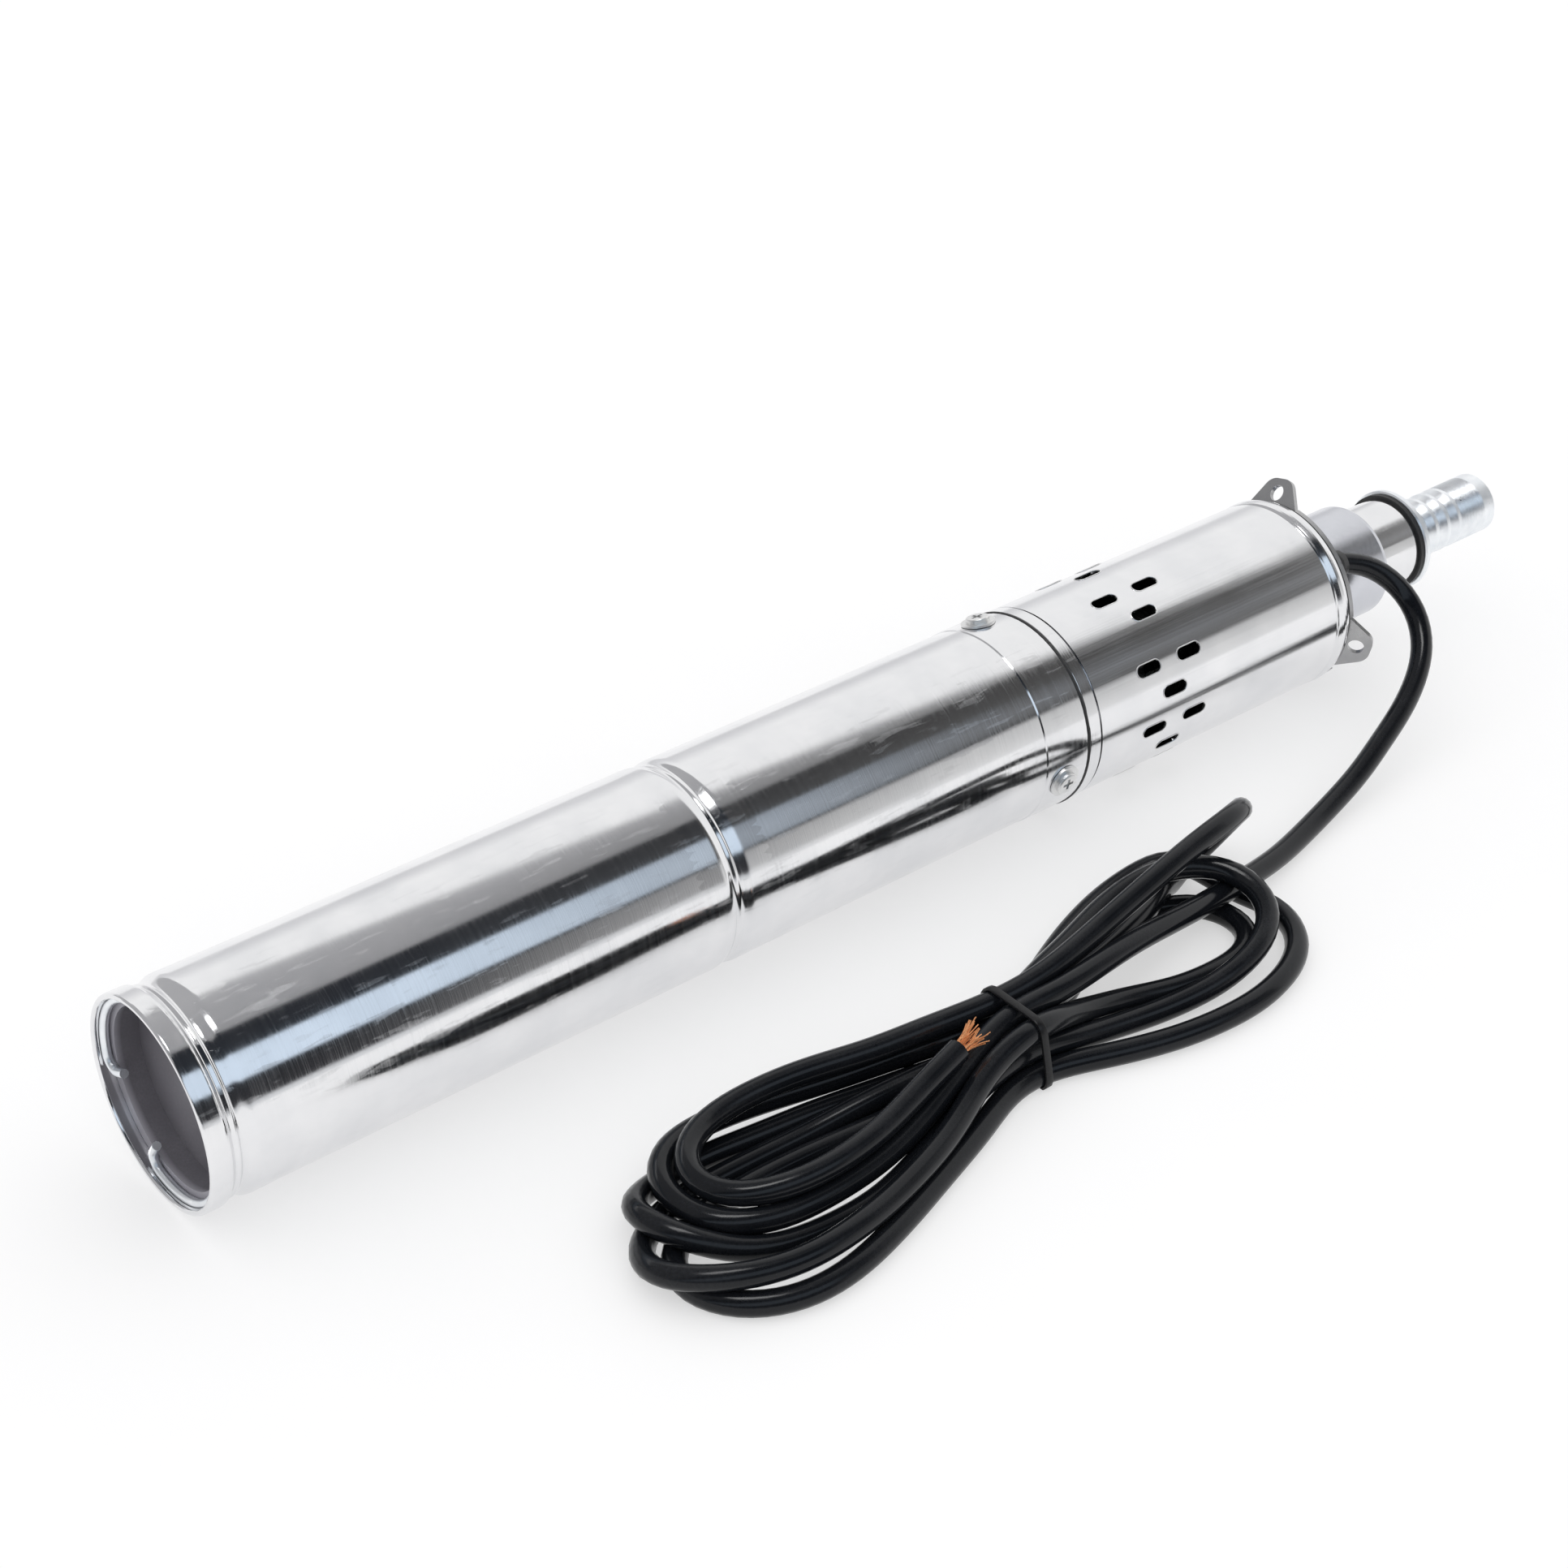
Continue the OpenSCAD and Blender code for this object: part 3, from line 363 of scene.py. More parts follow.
WINDING = MetalFinish("lacquered_winding", (0.72, 0.33, 0.14), (0.52, 0.20, 0.08), 0.32, 0.08, Lay.DRAWN, 0.4)
COPPER = MetalFinish(
    "bare_copper", (0.95, 0.46, 0.22), (0.78, 0.33, 0.14), 0.30, 0.08, Lay.ROLLED, 0.1, 300.0)
CHROME = MetalFinish("plated_rotor", (0.80, 0.80, 0.80), (0.72, 0.72, 0.73), 0.12, 0.04)
CAST_GREY = MetalFinish("cast_grey", (0.42, 0.43, 0.44), (0.33, 0.34, 0.35), 0.46, 0.08, Lay.ROLLED, 0.3)
# The cap's end rim gets a painted highlight.
CHARCOAL = MouldedFinish(
    "charcoal_cap", (0.138, 0.132, 0.150), (0.188, 0.180, 0.202), 0.44, 0.10, 1300.0, 0.25, highlight_rim_at=-0.3084)
RUBBER = MouldedFinish("black_rubber", (0.014, 0.014, 0.015), (0.030, 0.030, 0.031), 0.48, 0.08)
SHEATH = MouldedFinish(
    "cable_sheath", (0.005, 0.006, 0.008), (0.013, 0.014, 0.017), 0.18, 0.05, 900.0, 0.05, 40.0, 0.27)
TIE = MouldedFinish(
    "tie_strap", (0.008, 0.008, 0.009), (0.018, 0.018, 0.019), 0.34, 0.06, 1800.0, 0.12, gloss=0.25)
CASE = MouldedFinish("capacitor_case", (0.60, 0.61, 0.62), (0.50, 0.51, 0.52), 0.38, 0.06)
CERAMIC = MouldedFinish("seal_ceramic", (0.82, 0.80, 0.74), (0.74, 0.72, 0.66), 0.24, 0.05, 900.0, 0.05)
CARBON = MouldedFinish("seal_carbon", (0.028, 0.028, 0.030), (0.050, 0.050, 0.052), 0.34, 0.06)


class Wardrobe:
    """Makes each finish once and dresses CAD nodes in it."""

    made: ClassVar[dict[str, bpy.types.Material]] = {}

    @classmethod
    def material(cls, finish: Finish) -> bpy.types.Material:
        """Finds the finish's one material, and makes it the first time.

        Args:
            finish: the finish.

        Returns:
            The material.
        """
        if finish.name not in cls.made:
            cls.made[finish.name] = finish.make()
        return cls.made[finish.name]

    @classmethod
    def dress(cls, nodes: dict[str, Finish]) -> None:
        """Gives CAD nodes their finishes.

        Args:
            nodes: the finish of each node, by node name.
        """
        for name, finish in nodes.items():
            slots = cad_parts[name].material_slots
            if slots:
                for slot in slots:
                    slot.material = cls.material(finish)
            else:
                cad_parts[name].data.materials.append(cls.material(finish))
            LOG.info("%s: %s", name, finish.name)


def select_only(piece: bpy.types.Object) -> None:
    """Makes one object the only selected one, and active.

    Args:
        piece: the object.
    """
    bpy.ops.object.select_all(action="DESELECT")
    piece.select_set(True)
    bpy.context.view_layer.objects.active = piece


def apply_modifier(piece: bpy.types.Object, kind: str, **settings: object) -> None:
    """Adds a modifier and applies it.

    Args:
        piece: the object.
        kind: the modifier's type.
        **settings: the modifier's options.
    """
    select_only(piece)
    modifier = piece.modifiers.new(kind.lower(), kind)
    for key, value in settings.items():
        setattr(modifier, key, value)
    bpy.ops.object.modifier_apply(modifier=modifier.name)


def tube_mesh(
        name: str, lines: list[np.ndarray], radius: float, sides: int,
        closed: bool = False) -> bpy.types.Object:
    """Makes round tubes along lines, as one mesh with closed ends.

    Args:
        name: the object's name.
        lines: the lines' points in metres.
        radius: the tubes' radius in metres.
        sides: half of the tubes' sides, less two.
        closed: whether each line joins its own start.

    Returns:
        The mesh object.
    """
    curve = bpy.data.curves.new(name, "CURVE")
    curve.dimensions = "3D"
    curve.bevel_depth = radius
    curve.bevel_resolution = sides
    curve.use_fill_caps = True
    for line in lines:
        spline = curve.splines.new("POLY")
        spline.points.add(len(line) - 1)
        spline.points.foreach_set("co", np.c_[line, np.ones(len(line))].astype(np.float32).ravel())
        spline.use_smooth = True
        spline.use_cyclic_u = closed
    piece = bpy.data.objects.new(name, curve)
    bpy.context.scene.collection.objects.link(piece)
    select_only(piece)
    bpy.ops.object.convert(target="MESH")
    piece = bpy.context.view_layer.objects.active
    piece.name = name
    bpy.ops.object.shade_smooth_by_angle(angle=math.radians(CREASE))
    return piece


def finish_piece(piece: bpy.types.Object, finish: Finish, slot: str, *replaced: str) -> None:
    """Gives a new piece its finish and its body.

    Args:
        piece: the piece.
        finish: its finish.
        slot: its material slot in the record; not used.
        *replaced: the CAD nodes that it takes the place of.
    """
    piece.data.materials.clear()
    piece.data.materials.append(Wardrobe.material(finish))
    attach(piece, BODY)
    if replaced:
        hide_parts(*replaced)
    LOG.info("%s: %d faces", piece.name, len(piece.data.polygons))


@dataclass
class PowerCable:
    """The three-core cable, from the gland to the tied hank, with its tie and its bare ends. Sizes in mm.

    Attributes:
        refresh: after how many rounds the strands that lie close are looked for again.
        close: how near two points count as close, in diameters.
        own_run: how far along the cable two points have to be to push each other, in diameters.
        apart: how far the strands are pushed apart, in diameters.
        push: the share of an overlap that one round takes out, at most push_limit.
        sink: how far each round lowers the strands.
        held: how many points of the lead stay as they are drawn.
        loosening: over how many more points the lead comes loose.
        flare: how far the strands lean outwards, as a share of their place.
        fray: how far the strands lean at random.
    """

    diameter: float = 8.6
    step: float = 4.0
    rounds: int = 260
    refresh: int = 10
    close: float = 1.7
    own_run: float = 4.0
    apart: float = 1.02
    push: float = 0.35
    push_limit: float = 1.5
    sink: float = 0.015
    held: int = 60
    loosening: float = 25.0
    drawn_passes: int = 60
    settled_passes: int = 14
    tie_x: float = -57.0
    tie_width: float = 3.0
    tie_thick: float = 1.1
    tie_slice: float = 3.0
    tie_slack: float = 0.15
    tie_edge: float = 0.35
    tie_crease: float = 40.0
    strand_d: float = 0.42
    strands: int = 36
    cores: int = 3
    core_r: float = 1.7
    bundle_r: float = 0.7
    bundle_turns: int = 5
    strand_root: float = 1.5
    strand_reach: Range = (9.0, 14.0)
    flare: float = 0.8
    fray: float = 2.2
    seed: int = 7

    KERNEL: ClassVar[list[int]] = [1, 6, 15, 20, 15, 6, 1]
    FAIRING: ClassVar[tuple[float, float]] = (0.5, -0.52)
    TINY: ClassVar[float] = 1e-6
    CURVE_POINTS: ClassVar[int] = 16
    TIE_POINTS: ClassVar[int] = 72
    TIE_RAYS: ClassVar[int] = 720
    GRAZING: ClassVar[float] = 0.05
    STRAND_POINTS: ClassVar[int] = 6

    LEAD: ClassVar[list[Point]] = [
        (203.9, -22.8, 58.4), (208.2, -23.4, 57.9), (214.1, -26.8, 55.2), (220.5, -32.4, 50.7),
        (223.9, -38.6, 45.8), (224.3, -45.3, 40.3), (221.7, -52.0, 35.0), (216.8, -57.8, 30.3),
        (209.7, -63.0, 26.2), (199.2, -68.5, 21.8), (186.8, -73.4, 17.9), (173.1, -77.7, 14.4),
        (158.3, -82.3, 10.7), (140.5, -86.5, 7.4), (117, -92, 5), (95, -98, 6), (72, -103, 9),
        (49, -108, 13), (26, -112, 17), (4, -115, 20), (-18, -118, 21), (-40, -120, 21), (-57, -120, 20.5),
    ]
    FIRST_LEFT: ClassVar[list[Point]] = [
        (-92, -131, 18), (-114, -138, 15), (-136, -142, 14), (-155, -143, 14), (-171, -142, 14),
        (-184, -138, 14), (-193, -130, 14), (-196, -117, 14), (-193, -104, 14), (-184, -96, 14),
        (-170, -92, 14), (-149, -92, 13), (-125, -96, 12), (-100, -102, 12), (-57, -111, 12.5),
    ]
    FIRST_RIGHT: ClassVar[list[Point]] = [
        (-34, -104, 13), (-8, -97, 13), (17, -91, 13), (42, -92, 13), (56, -99, 13), (62, -111, 12),
        (60, -122, 10), (47, -131, 8), (26, -134, 6), (-2, -132, 6), (-29, -129, 9), (-57, -129, 12.5),
    ]
    SECOND_LEFT: ClassVar[list[Point]] = [
        (-90, -135, 12), (-118, -145, 11), (-141, -149, 7), (-164, -148, 6), (-184, -143, 8),
        (-198, -134, 11), (-205, -122, 12), (-203, -110, 9), (-192, -102, 5.5), (-173, -99, 4.5),
        (-153, -101, 4.5), (-127, -104, 4.5), (-100, -108, 5), (-57, -111, 4.5),
    ]
    SECOND_RIGHT: ClassVar[list[Point]] = [
        (-28, -98, 5), (1, -86, 5), (26, -80, 5), (48, -81, 6), (65, -89, 7), (75, -103, 6), (77, -115, 5),
        (74, -126, 5), (66, -137, 5), (52, -145, 5), (31, -150, 5), (1, -148, 5), (-23, -141, 5),
        (-43, -133, 5), (-57, -129, 4.5),
    ]
    THIRD_LEFT: ClassVar[list[Point]] = [
        (-72, -131, 5), (-93, -140, 5), (-121, -151, 5), (-146, -160, 5), (-166, -165, 5), (-184, -165, 5),
        (-199, -159, 5), (-208, -149, 5), (-211, -137, 5), (-206, -126, 5), (-193, -118, 5),
        (-175, -114, 5), (-150, -113, 5), (-123, -115, 5), (-95, -118, 5), (-57, -120, 4.5),
    ]
    THIRD_RIGHT: ClassVar[list[Point]] = [
        (-34, -112, 5), (-6, -99, 6), (17, -89, 5), (35, -86, 5), (49, -90, 6), (58, -99, 7), (60, -110, 7),
        (57, -121, 7), (48, -129, 6), (33, -133, 5), (15, -132, 5), (-8, -127, 7), (-32, -126, 12),
        (-57, -129, 20.5),
    ]
    FOURTH_LEFT: ClassVar[list[Point]] = [
        (-80, -131, 18), (-108, -142, 13), (-133, -151, 11.5), (-158, -157, 12), (-180, -158, 12),
        (-199, -153, 12), (-212, -143, 11), (-217, -131, 9), (-213, -119, 6), (-202, -110, 4.5),
        (-186, -107, 4.5), (-165, -108, 4.5), (-140, -110, 5), (-112, -114, 9), (-57, -120, 12.5),
    ]
    RAISED_FOLD: ClassVar[list[Point]] = [
        (-27, -113, 12), (0, -108, 14), (22, -100.5, 13), (42, -91, 9.5), (60, -82, 5.5), (73, -77.5, 5),
        (82.5, -77, 9.5), (87.3, -80.5, 18), (85.5, -86.5, 27), (78, -92.5, 33.5), (67, -96.5, 36.2),
        (47.5, -99.8, 36), (28, -103, 34), (8, -106, 31), (-12, -109, 27.5), (-36, -112, 23.5),
        (-57, -111, 20.5),
    ]
    LAST_LEFT: ClassVar[list[Point]] = [
        (-84, -107, 21), (-106, -103, 21), (-130, -97, 21), (-151, -94, 20), (-167, -95, 19),
        (-180, -101.5, 19), (-187, -113, 19), (-185, -125, 19), (-176, -134, 20), (-162, -138.5, 21),
        (-145, -139, 22), (-126, -136, 23), (-106, -131, 25), (-88, -127, 27),
    ]

    def evened(self, line: np.ndarray) -> np.ndarray:
        """Spaces a line's points evenly.

        Args:
            line: the line's points.

        Returns:
            Points one step apart on the same line.
        """
        run = np.r_[0.0, np.cumsum(np.linalg.norm(np.diff(line, axis=0), axis=1))]
        at = np.linspace(0.0, run[-1], int(round(run[-1] / self.step)) + 1)
        return np.stack([np.interp(at, run, line[:, k]) for k in range(3)], axis=1)

    def curve(self, points: list[Point]) -> np.ndarray:
        """Draws a smooth line through points.

        Args:
            points: the points it goes through.

        Returns:
            The line, evenly spaced.
        """
        p = np.array(points, float)
        p = np.vstack([2 * p[0] - p[1], p, 2 * p[-1] - p[-2]])
        line = []
        for i in range(1, len(p) - 2):
            four = p[i - 1:i + 3]
            knots = np.r_[0.0, np.cumsum(np.sqrt(np.linalg.norm(np.diff(four, axis=0), axis=1)))]
            for t in np.linspace(knots[1], knots[2], self.CURVE_POINTS, endpoint=False):
                level = list(four)
                for depth in (1, 2, 3):
                    pairs = enumerate(zip(level[:-1], level[1:]))
                    level = [self.between(a, b, knots, k, depth, t) for k, (a, b) in pairs]
                line.append(level[0])
        line.append(p[-2])
        return self.evened(np.array(line))

    @staticmethod
    def between(a: np.ndarray, b: np.ndarray, knots: np.ndarray, k: int, depth: int, t: float) -> np.ndarray:
        """One step of drawing the smooth line: a point between two others.

        Args:
            a: the first point.
            b: the second point.
            knots: the four points' places on the line.
            k: the pair's number.
            depth: the step's number, from 1.
            t: the place that is wanted.

        Returns:
            The point between them.
        """
        low, high = ((k, k + 1), (k, k + 2), (1, 2))[depth - 1]
        share = (t - knots[low]) / (knots[high] - knots[low])
        return (1.0 - share) * a + share * b

    @classmethod
    def faired(cls, line: np.ndarray, passes: int) -> np.ndarray:
        """Takes kinks out of a line and keeps its size.

        Args:
            line: the line's points.
            passes: how often it is gone over.

        Returns:
            The faired line.
        """
        for _ in range(passes):
            for pull in cls.FAIRING:
                moved = line.copy()
                moved[1:-1] += pull * ((line[:-2] + line[2:]) / 2 - line[1:-1])
                line = moved
        return line

    def settled(self, line: np.ndarray) -> np.ndarray:
        """Lets the strands lie on each other and on the floor, a diameter apart.

        Args:
            line: the drawn line.

        Returns:
            The settled line.
        """
        count = len(line)
        kernel = np.array(self.KERNEL, float) / sum(self.KERNEL)
        margin = len(kernel) // 2
        loose = np.clip((np.arange(count) - self.held) / self.loosening, *UNIT)[:, None]
        shift = np.zeros_like(line)
        for turn in range(self.rounds):
            now = line + shift
            if turn % self.refresh == 0:
                gap = now[:, None, :] - now[None, :, :]
                i, j = np.nonzero((gap * gap).sum(2) < (self.close * self.diameter) ** 2)
                others = (j - i) * self.step > self.own_run * self.diameter
                i, j = i[others], j[others]
            gap = now[i] - now[j]
            far = np.sqrt((gap * gap).sum(1)) + self.TINY
            overlap = np.clip(self.apart * self.diameter - far, 0.0, None)
            push = self.push * (overlap / far)[:, None] * gap
            move = np.zeros_like(line)
            np.add.at(move, i, push)
            np.add.at(move, j, -push)
            shift += np.clip(move, -self.push_limit, self.push_limit)
            shift[:, 2] -= self.sink
            wide = np.pad(shift, ((margin, margin), (0, 0)), mode="edge")
            shift = sum(weight * wide[k:k + count] for k, weight in enumerate(kernel)) * loose
            shift[:, 2] = np.maximum(shift[:, 2], self.diameter / 2 - line[:, 2])
        return self.faired(line + shift, self.settled_passes)

    def route(self) -> np.ndarray:
        """The cable's middle line, in mm.

        Returns:
            The points from the gland to the cut end.
        """
        stretches = (
            self.LEAD, self.FIRST_LEFT, self.FIRST_RIGHT, self.SECOND_LEFT, self.SECOND_RIGHT,
            self.THIRD_LEFT, self.THIRD_RIGHT, self.FOURTH_LEFT, self.RAISED_FOLD, self.LAST_LEFT)
        points = [point for stretch in stretches for point in stretch]
        return self.settled(self.faired(self.curve(points), self.drawn_passes))

    def build_sheath(self, line: np.ndarray) -> bpy.types.Object:
        """Makes the cable's sheath.

        Args:
            line: the middle line in mm.

        Returns:
            The sheath.
        """
        sheath = tube_mesh("power_cable", [line * MM], self.diameter / 2 * MM, sides=5)
        finish_piece(sheath, SHEATH, "cable_sheath", "cable_lead", "cable_hank")
        return sheath

    def build_ends(self, line: np.ndarray) -> bpy.types.Object:
        """Makes the frayed copper of the three cores.

        Args:
            line: the middle line in mm.

        Returns:
            The copper strands.
        """
        end = line[-1]
        ahead = line[-1] - line[-4]
        ahead = ahead / np.linalg.norm(ahead)
        side = np.cross(ahead, (0.0, 0.0, 1.0))
        side = side / np.linalg.norm(side)
        up = np.cross(side, ahead)
        rng = np.random.default_rng(self.seed)
        steps = np.linspace(*UNIT, self.STRAND_POINTS)[:, None]
        wires = []
        for k in range(self.strands):
            core = 2 * math.pi * (k % self.cores) / self.cores
            ring = 2 * math.pi * k / self.strands * self.bundle_turns
            root = self.core_r * (math.cos(core) * side + math.sin(core) * up)
            root = root + self.bundle_r * (math.cos(ring) * side + math.sin(ring) * up)
            bend = rng.uniform(-1.0, 1.0, 2)
            reach = rng.uniform(*self.strand_reach)
            spread = root * self.flare + self.fray * (bend[0] * side + bend[1] * up)
            wire = end + root - self.strand_root * ahead + steps * reach * ahead + steps ** 2 * spread
            wire[:, 2] = np.maximum(wire[:, 2], self.strand_d / 2)
            wires.append(wire * MM)
        copper = tube_mesh("frayed_copper", wires, self.strand_d / 2 * MM, sides=1)
        finish_piece(copper, COPPER, "copper", "conductor_ends")
        return copper

    def build_tie(self, line: np.ndarray) -> bpy.types.Object:
        """Makes the strap that is drawn tight round the strands.

        Args:
            line: the middle line in mm.

        Returns:
            The tie.
        """
        through = line[np.abs(line[:, 0] - self.tie_x) < self.tie_slice][:, 1:]
        middle = through.mean(axis=0)
        bpy.ops.object.select_all(action="DESELECT")
        bpy.ops.mesh.primitive_cylinder_add(
            vertices=self.TIE_POINTS, radius=1.0, depth=self.tie_width * MM, end_fill_type="NOTHING",
            rotation=(0.0, math.pi / 2, 0.0), location=(self.tie_x * MM, 0.0, 0.0))
        tie = bpy.context.view_layer.objects.active
        tie.name = "hank_strap"
        bpy.ops.object.transform_apply(location=True, rotation=True, scale=True)
        angles = np.linspace(0.0, 2 * math.pi, self.TIE_RAYS, endpoint=False)
        rays = np.stack([np.cos(angles), np.sin(angles)], axis=1)
        support = ((through - middle) @ rays.T).max(axis=0) + self.diameter / 2 + self.tie_slack
        for vertex in tie.data.vertices:
            ray = np.array([vertex.co.y, vertex.co.z])
            ray = ray / np.linalg.norm(ray)
            facing = rays @ ray
            keep = facing > self.GRAZING
            place = middle + ray * (support[keep] / facing[keep]).min()
            vertex.co.y, vertex.co.z = place[0] * MM, max(place[1], self.tie_thick) * MM
        apply_modifier(tie, "SOLIDIFY", thickness=self.tie_thick * MM, offset=1.0)
        apply_modifier(tie, "BEVEL", width=self.tie_edge * MM, segments=2, limit_method="ANGLE")
        bpy.ops.object.shade_smooth_by_angle(angle=math.radians(self.tie_crease))
        finish_piece(tie, TIE, "black_rubber", "hank_tie")
        return tie

    def build(self) -> None:
        line = self.route()
        sheath = self.build_sheath(line)
        copper = self.build_ends(line)
        tie = self.build_tie(line)


@dataclass
class MotorUnit:
    """The motor tube with its end cap, and the motor inside. Sizes in mm, angles in degrees.

    Attributes:
        gap_at: the middle of the spring ring's gap, from straight down.
        hook_turn: how far the ring's hooks turn, on a bend of radius hook_bend.
    """

    tube: Finish = POLISHED
    cap: Finish = CHARCOAL
    wire: float = 3.2
    gap_at: float = 49.0
    gap: float = 74.0
    hook_bend: float = 4.6
    hook_turn: float = 112.0
    hook_tip: float = 5.0
    groove_step: float = 0.15
    groove_passes: int = 26
    skin: float = 0.5
    middle_at: float = -107.4

    END_GROOVE: ClassVar[list[Spot]] = [
        (-312.4, 37.96), (-307.6, 38.04), (-306.6, 38.12), (-305.8, 37.66), (-305.0, 36.6), (-304.3, 36.0),
        (-303.15, 37.3), (-302.0, 35.95), (-301.0, 36.12), (-300.0, 36.52), (-298.1, 37.6), (-297.1, 38.0),
        (-296.1, 38.12), (-293.6, 38.08), (-281.0, 37.94),
    ]
    MIDDLE_GROOVE_HALF: ClassVar[list[Spot]] = [
        (18.6, 37.94), (6.6, 38.08), (5.0, 38.1), (4.2, 38.02), (3.3, 37.76), (1.7, 36.98), (0.8, 36.7),
        (0.0, 37.56),
    ]
    OUTSIDE_EVERY: ClassVar[int] = 2
    INSIDE_EVERY: ClassVar[int] = 6
    RING_POINTS: ClassVar[int] = 181
    HOOK_POINTS: ClassVar[int] = 16

    def groove_loop(self, outline: list[Spot]) -> np.ndarray:
        """Rounds a groove's outline and closes it under the tube's surface.

        Args:
            outline: the corners, as places along the pump and radii. The first and the last are just under
                the tube's surface.

        Returns:
            The loop's points, as places along the pump and radii.
        """
        spots = np.array(outline)
        along = np.arange(spots[1, 0], spots[-2, 0], self.groove_step)
        reach = np.interp(along, spots[:, 0], spots[:, 1])
        for _ in range(self.groove_passes):
            reach[1:-1] = (reach[:-2] + 2.0 * reach[1:-1] + reach[2:]) / 4.0
        outside = np.vstack([spots[:1], np.c_[along, reach][::self.OUTSIDE_EVERY], spots[-1:]])
        inside = np.c_[along, reach - self.skin][::-self.INSIDE_EVERY]
        return np.vstack([outside, inside])

    def build_grooves(self) -> None:
        """Makes the smooth rolled skin of the tube's two grooves, over the CAD's straight steps."""
        low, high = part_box("motor_tube")
        half = self.MIDDLE_GROOVE_HALF
        before = [(round(self.middle_at - away, 2), radius) for away, radius in half]
        after = [(round(self.middle_at + away, 2), radius) for away, radius in half[-2::-1]]
        places, edges = [], []
        for outline in (self.END_GROOVE, before + after):
            loop = self.groove_loop(outline)
            start = len(places)
            places += [(x * MM, 0.0, r * MM) for x, r in loop]
            edges += [(start + k, start + (k + 1) % len(loop)) for k in range(len(loop))]
        mesh = bpy.data.meshes.new("rolled_grooves")
        mesh.from_pydata(places, edges, [])
        grooves = bpy.data.objects.new("rolled_grooves", mesh)
        bpy.context.scene.collection.objects.link(grooves)
        apply_modifier(
            grooves, "SCREW", axis="X", angle=2.0 * math.pi, steps=ROUND, render_steps=ROUND,
            use_merge_vertices=True, merge_threshold=0.001 * MM)
        grooves.location.z = (low[2] + high[2]) / 2
        bpy.ops.object.transform_apply(location=True, rotation=True, scale=True)
        bpy.ops.object.mode_set(mode="EDIT")
        bpy.ops.mesh.select_all(action="SELECT")
        bpy.ops.mesh.normals_make_consistent(inside=False)
        bpy.ops.object.mode_set(mode="OBJECT")
        bpy.ops.object.shade_smooth_by_angle(angle=math.radians(CREASE))
        finish_piece(grooves, self.tube, "polished_steel")

    def hook(self, end: float, way: float, radius: float) -> np.ndarray:
        """Draws one of the spring ring's hooked ends, from the ring's middle.

        Args:
            end: the angle at which the ring ends.
            way: 1 where the ring's angle grows towards this end, or else -1.
            radius: the ring's radius.

        Returns:
            The hook's points, from the ring to its tip.
        """
        angle = math.radians(end)
        out = np.array([0.0, math.sin(angle), -math.cos(angle)])
        along = way * np.array([0.0, math.cos(angle), math.sin(angle)])
        turns = np.radians(np.linspace(0.0, self.hook_turn, self.HOOK_POINTS))[:, None]
        curl = np.cos(turns) * out + np.sin(turns) * along
        bend = (radius - self.hook_bend) * out + self.hook_bend * curl
        heading = np.cos(turns[-1]) * along - np.sin(turns[-1]) * out
        return np.vstack([bend, bend[-1] + self.hook_tip * heading])

    def build_ring(self) -> None:
        """Makes the spring ring with its two hooks, where the CAD's ring sits."""
        low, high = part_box("snap_ring")
        centre = np.array([(low[0] + high[0]) / 2, 0.0, (low[2] + high[2]) / 2])
        radius = (high[2] - low[2]) / 2 / MM - self.wire / 2
        first, last = self.gap_at + self.gap / 2, self.gap_at - self.gap / 2 + 360.0
        angles = np.radians(np.linspace(first, last, self.RING_POINTS))[1:-1]
        round_part = radius * np.stack([0.0 * angles, np.sin(angles), -np.cos(angles)], axis=1)
        line = np.vstack([self.hook(first, -1.0, radius)[::-1], round_part, self.hook(last, 1.0, radius)])
        ring = tube_mesh("spring_ring", [centre + line * MM], self.wire / 2 * MM, sides=3)
        finish_piece(ring, ZINC, "zinc", "snap_ring")

    def dress(self) -> None:
        """Gives the motor's nodes their finishes."""
        Wardrobe.dress({
            "motor_tube": self.tube, "end_cap": self.cap, "body_screws": SCREW,
            "lip_gasket": RUBBER, "end_cap_seal": RUBBER, "capacitor": CASE, "capacitor_rings": RUBBER,
            "lower_bracket": CAST_GREY, "bracket_seal": RUBBER, "stator_core": LAMINATION,
            "stator_windings": WINDING, "bearing_outer_races": BEARING, "bearing_balls": BEARING,
            "bearing_inner_races": BEARING, "motor_shaft": MACHINED, "rotor_core": LAMINATION,
            "seal_housing": CAST_GREY, "housing_seal": RUBBER, "seal_seat": CERAMIC, "seal_head": CARBON,
            "seal_spring": WIRE, "motor_gland": RUBBER,
        })


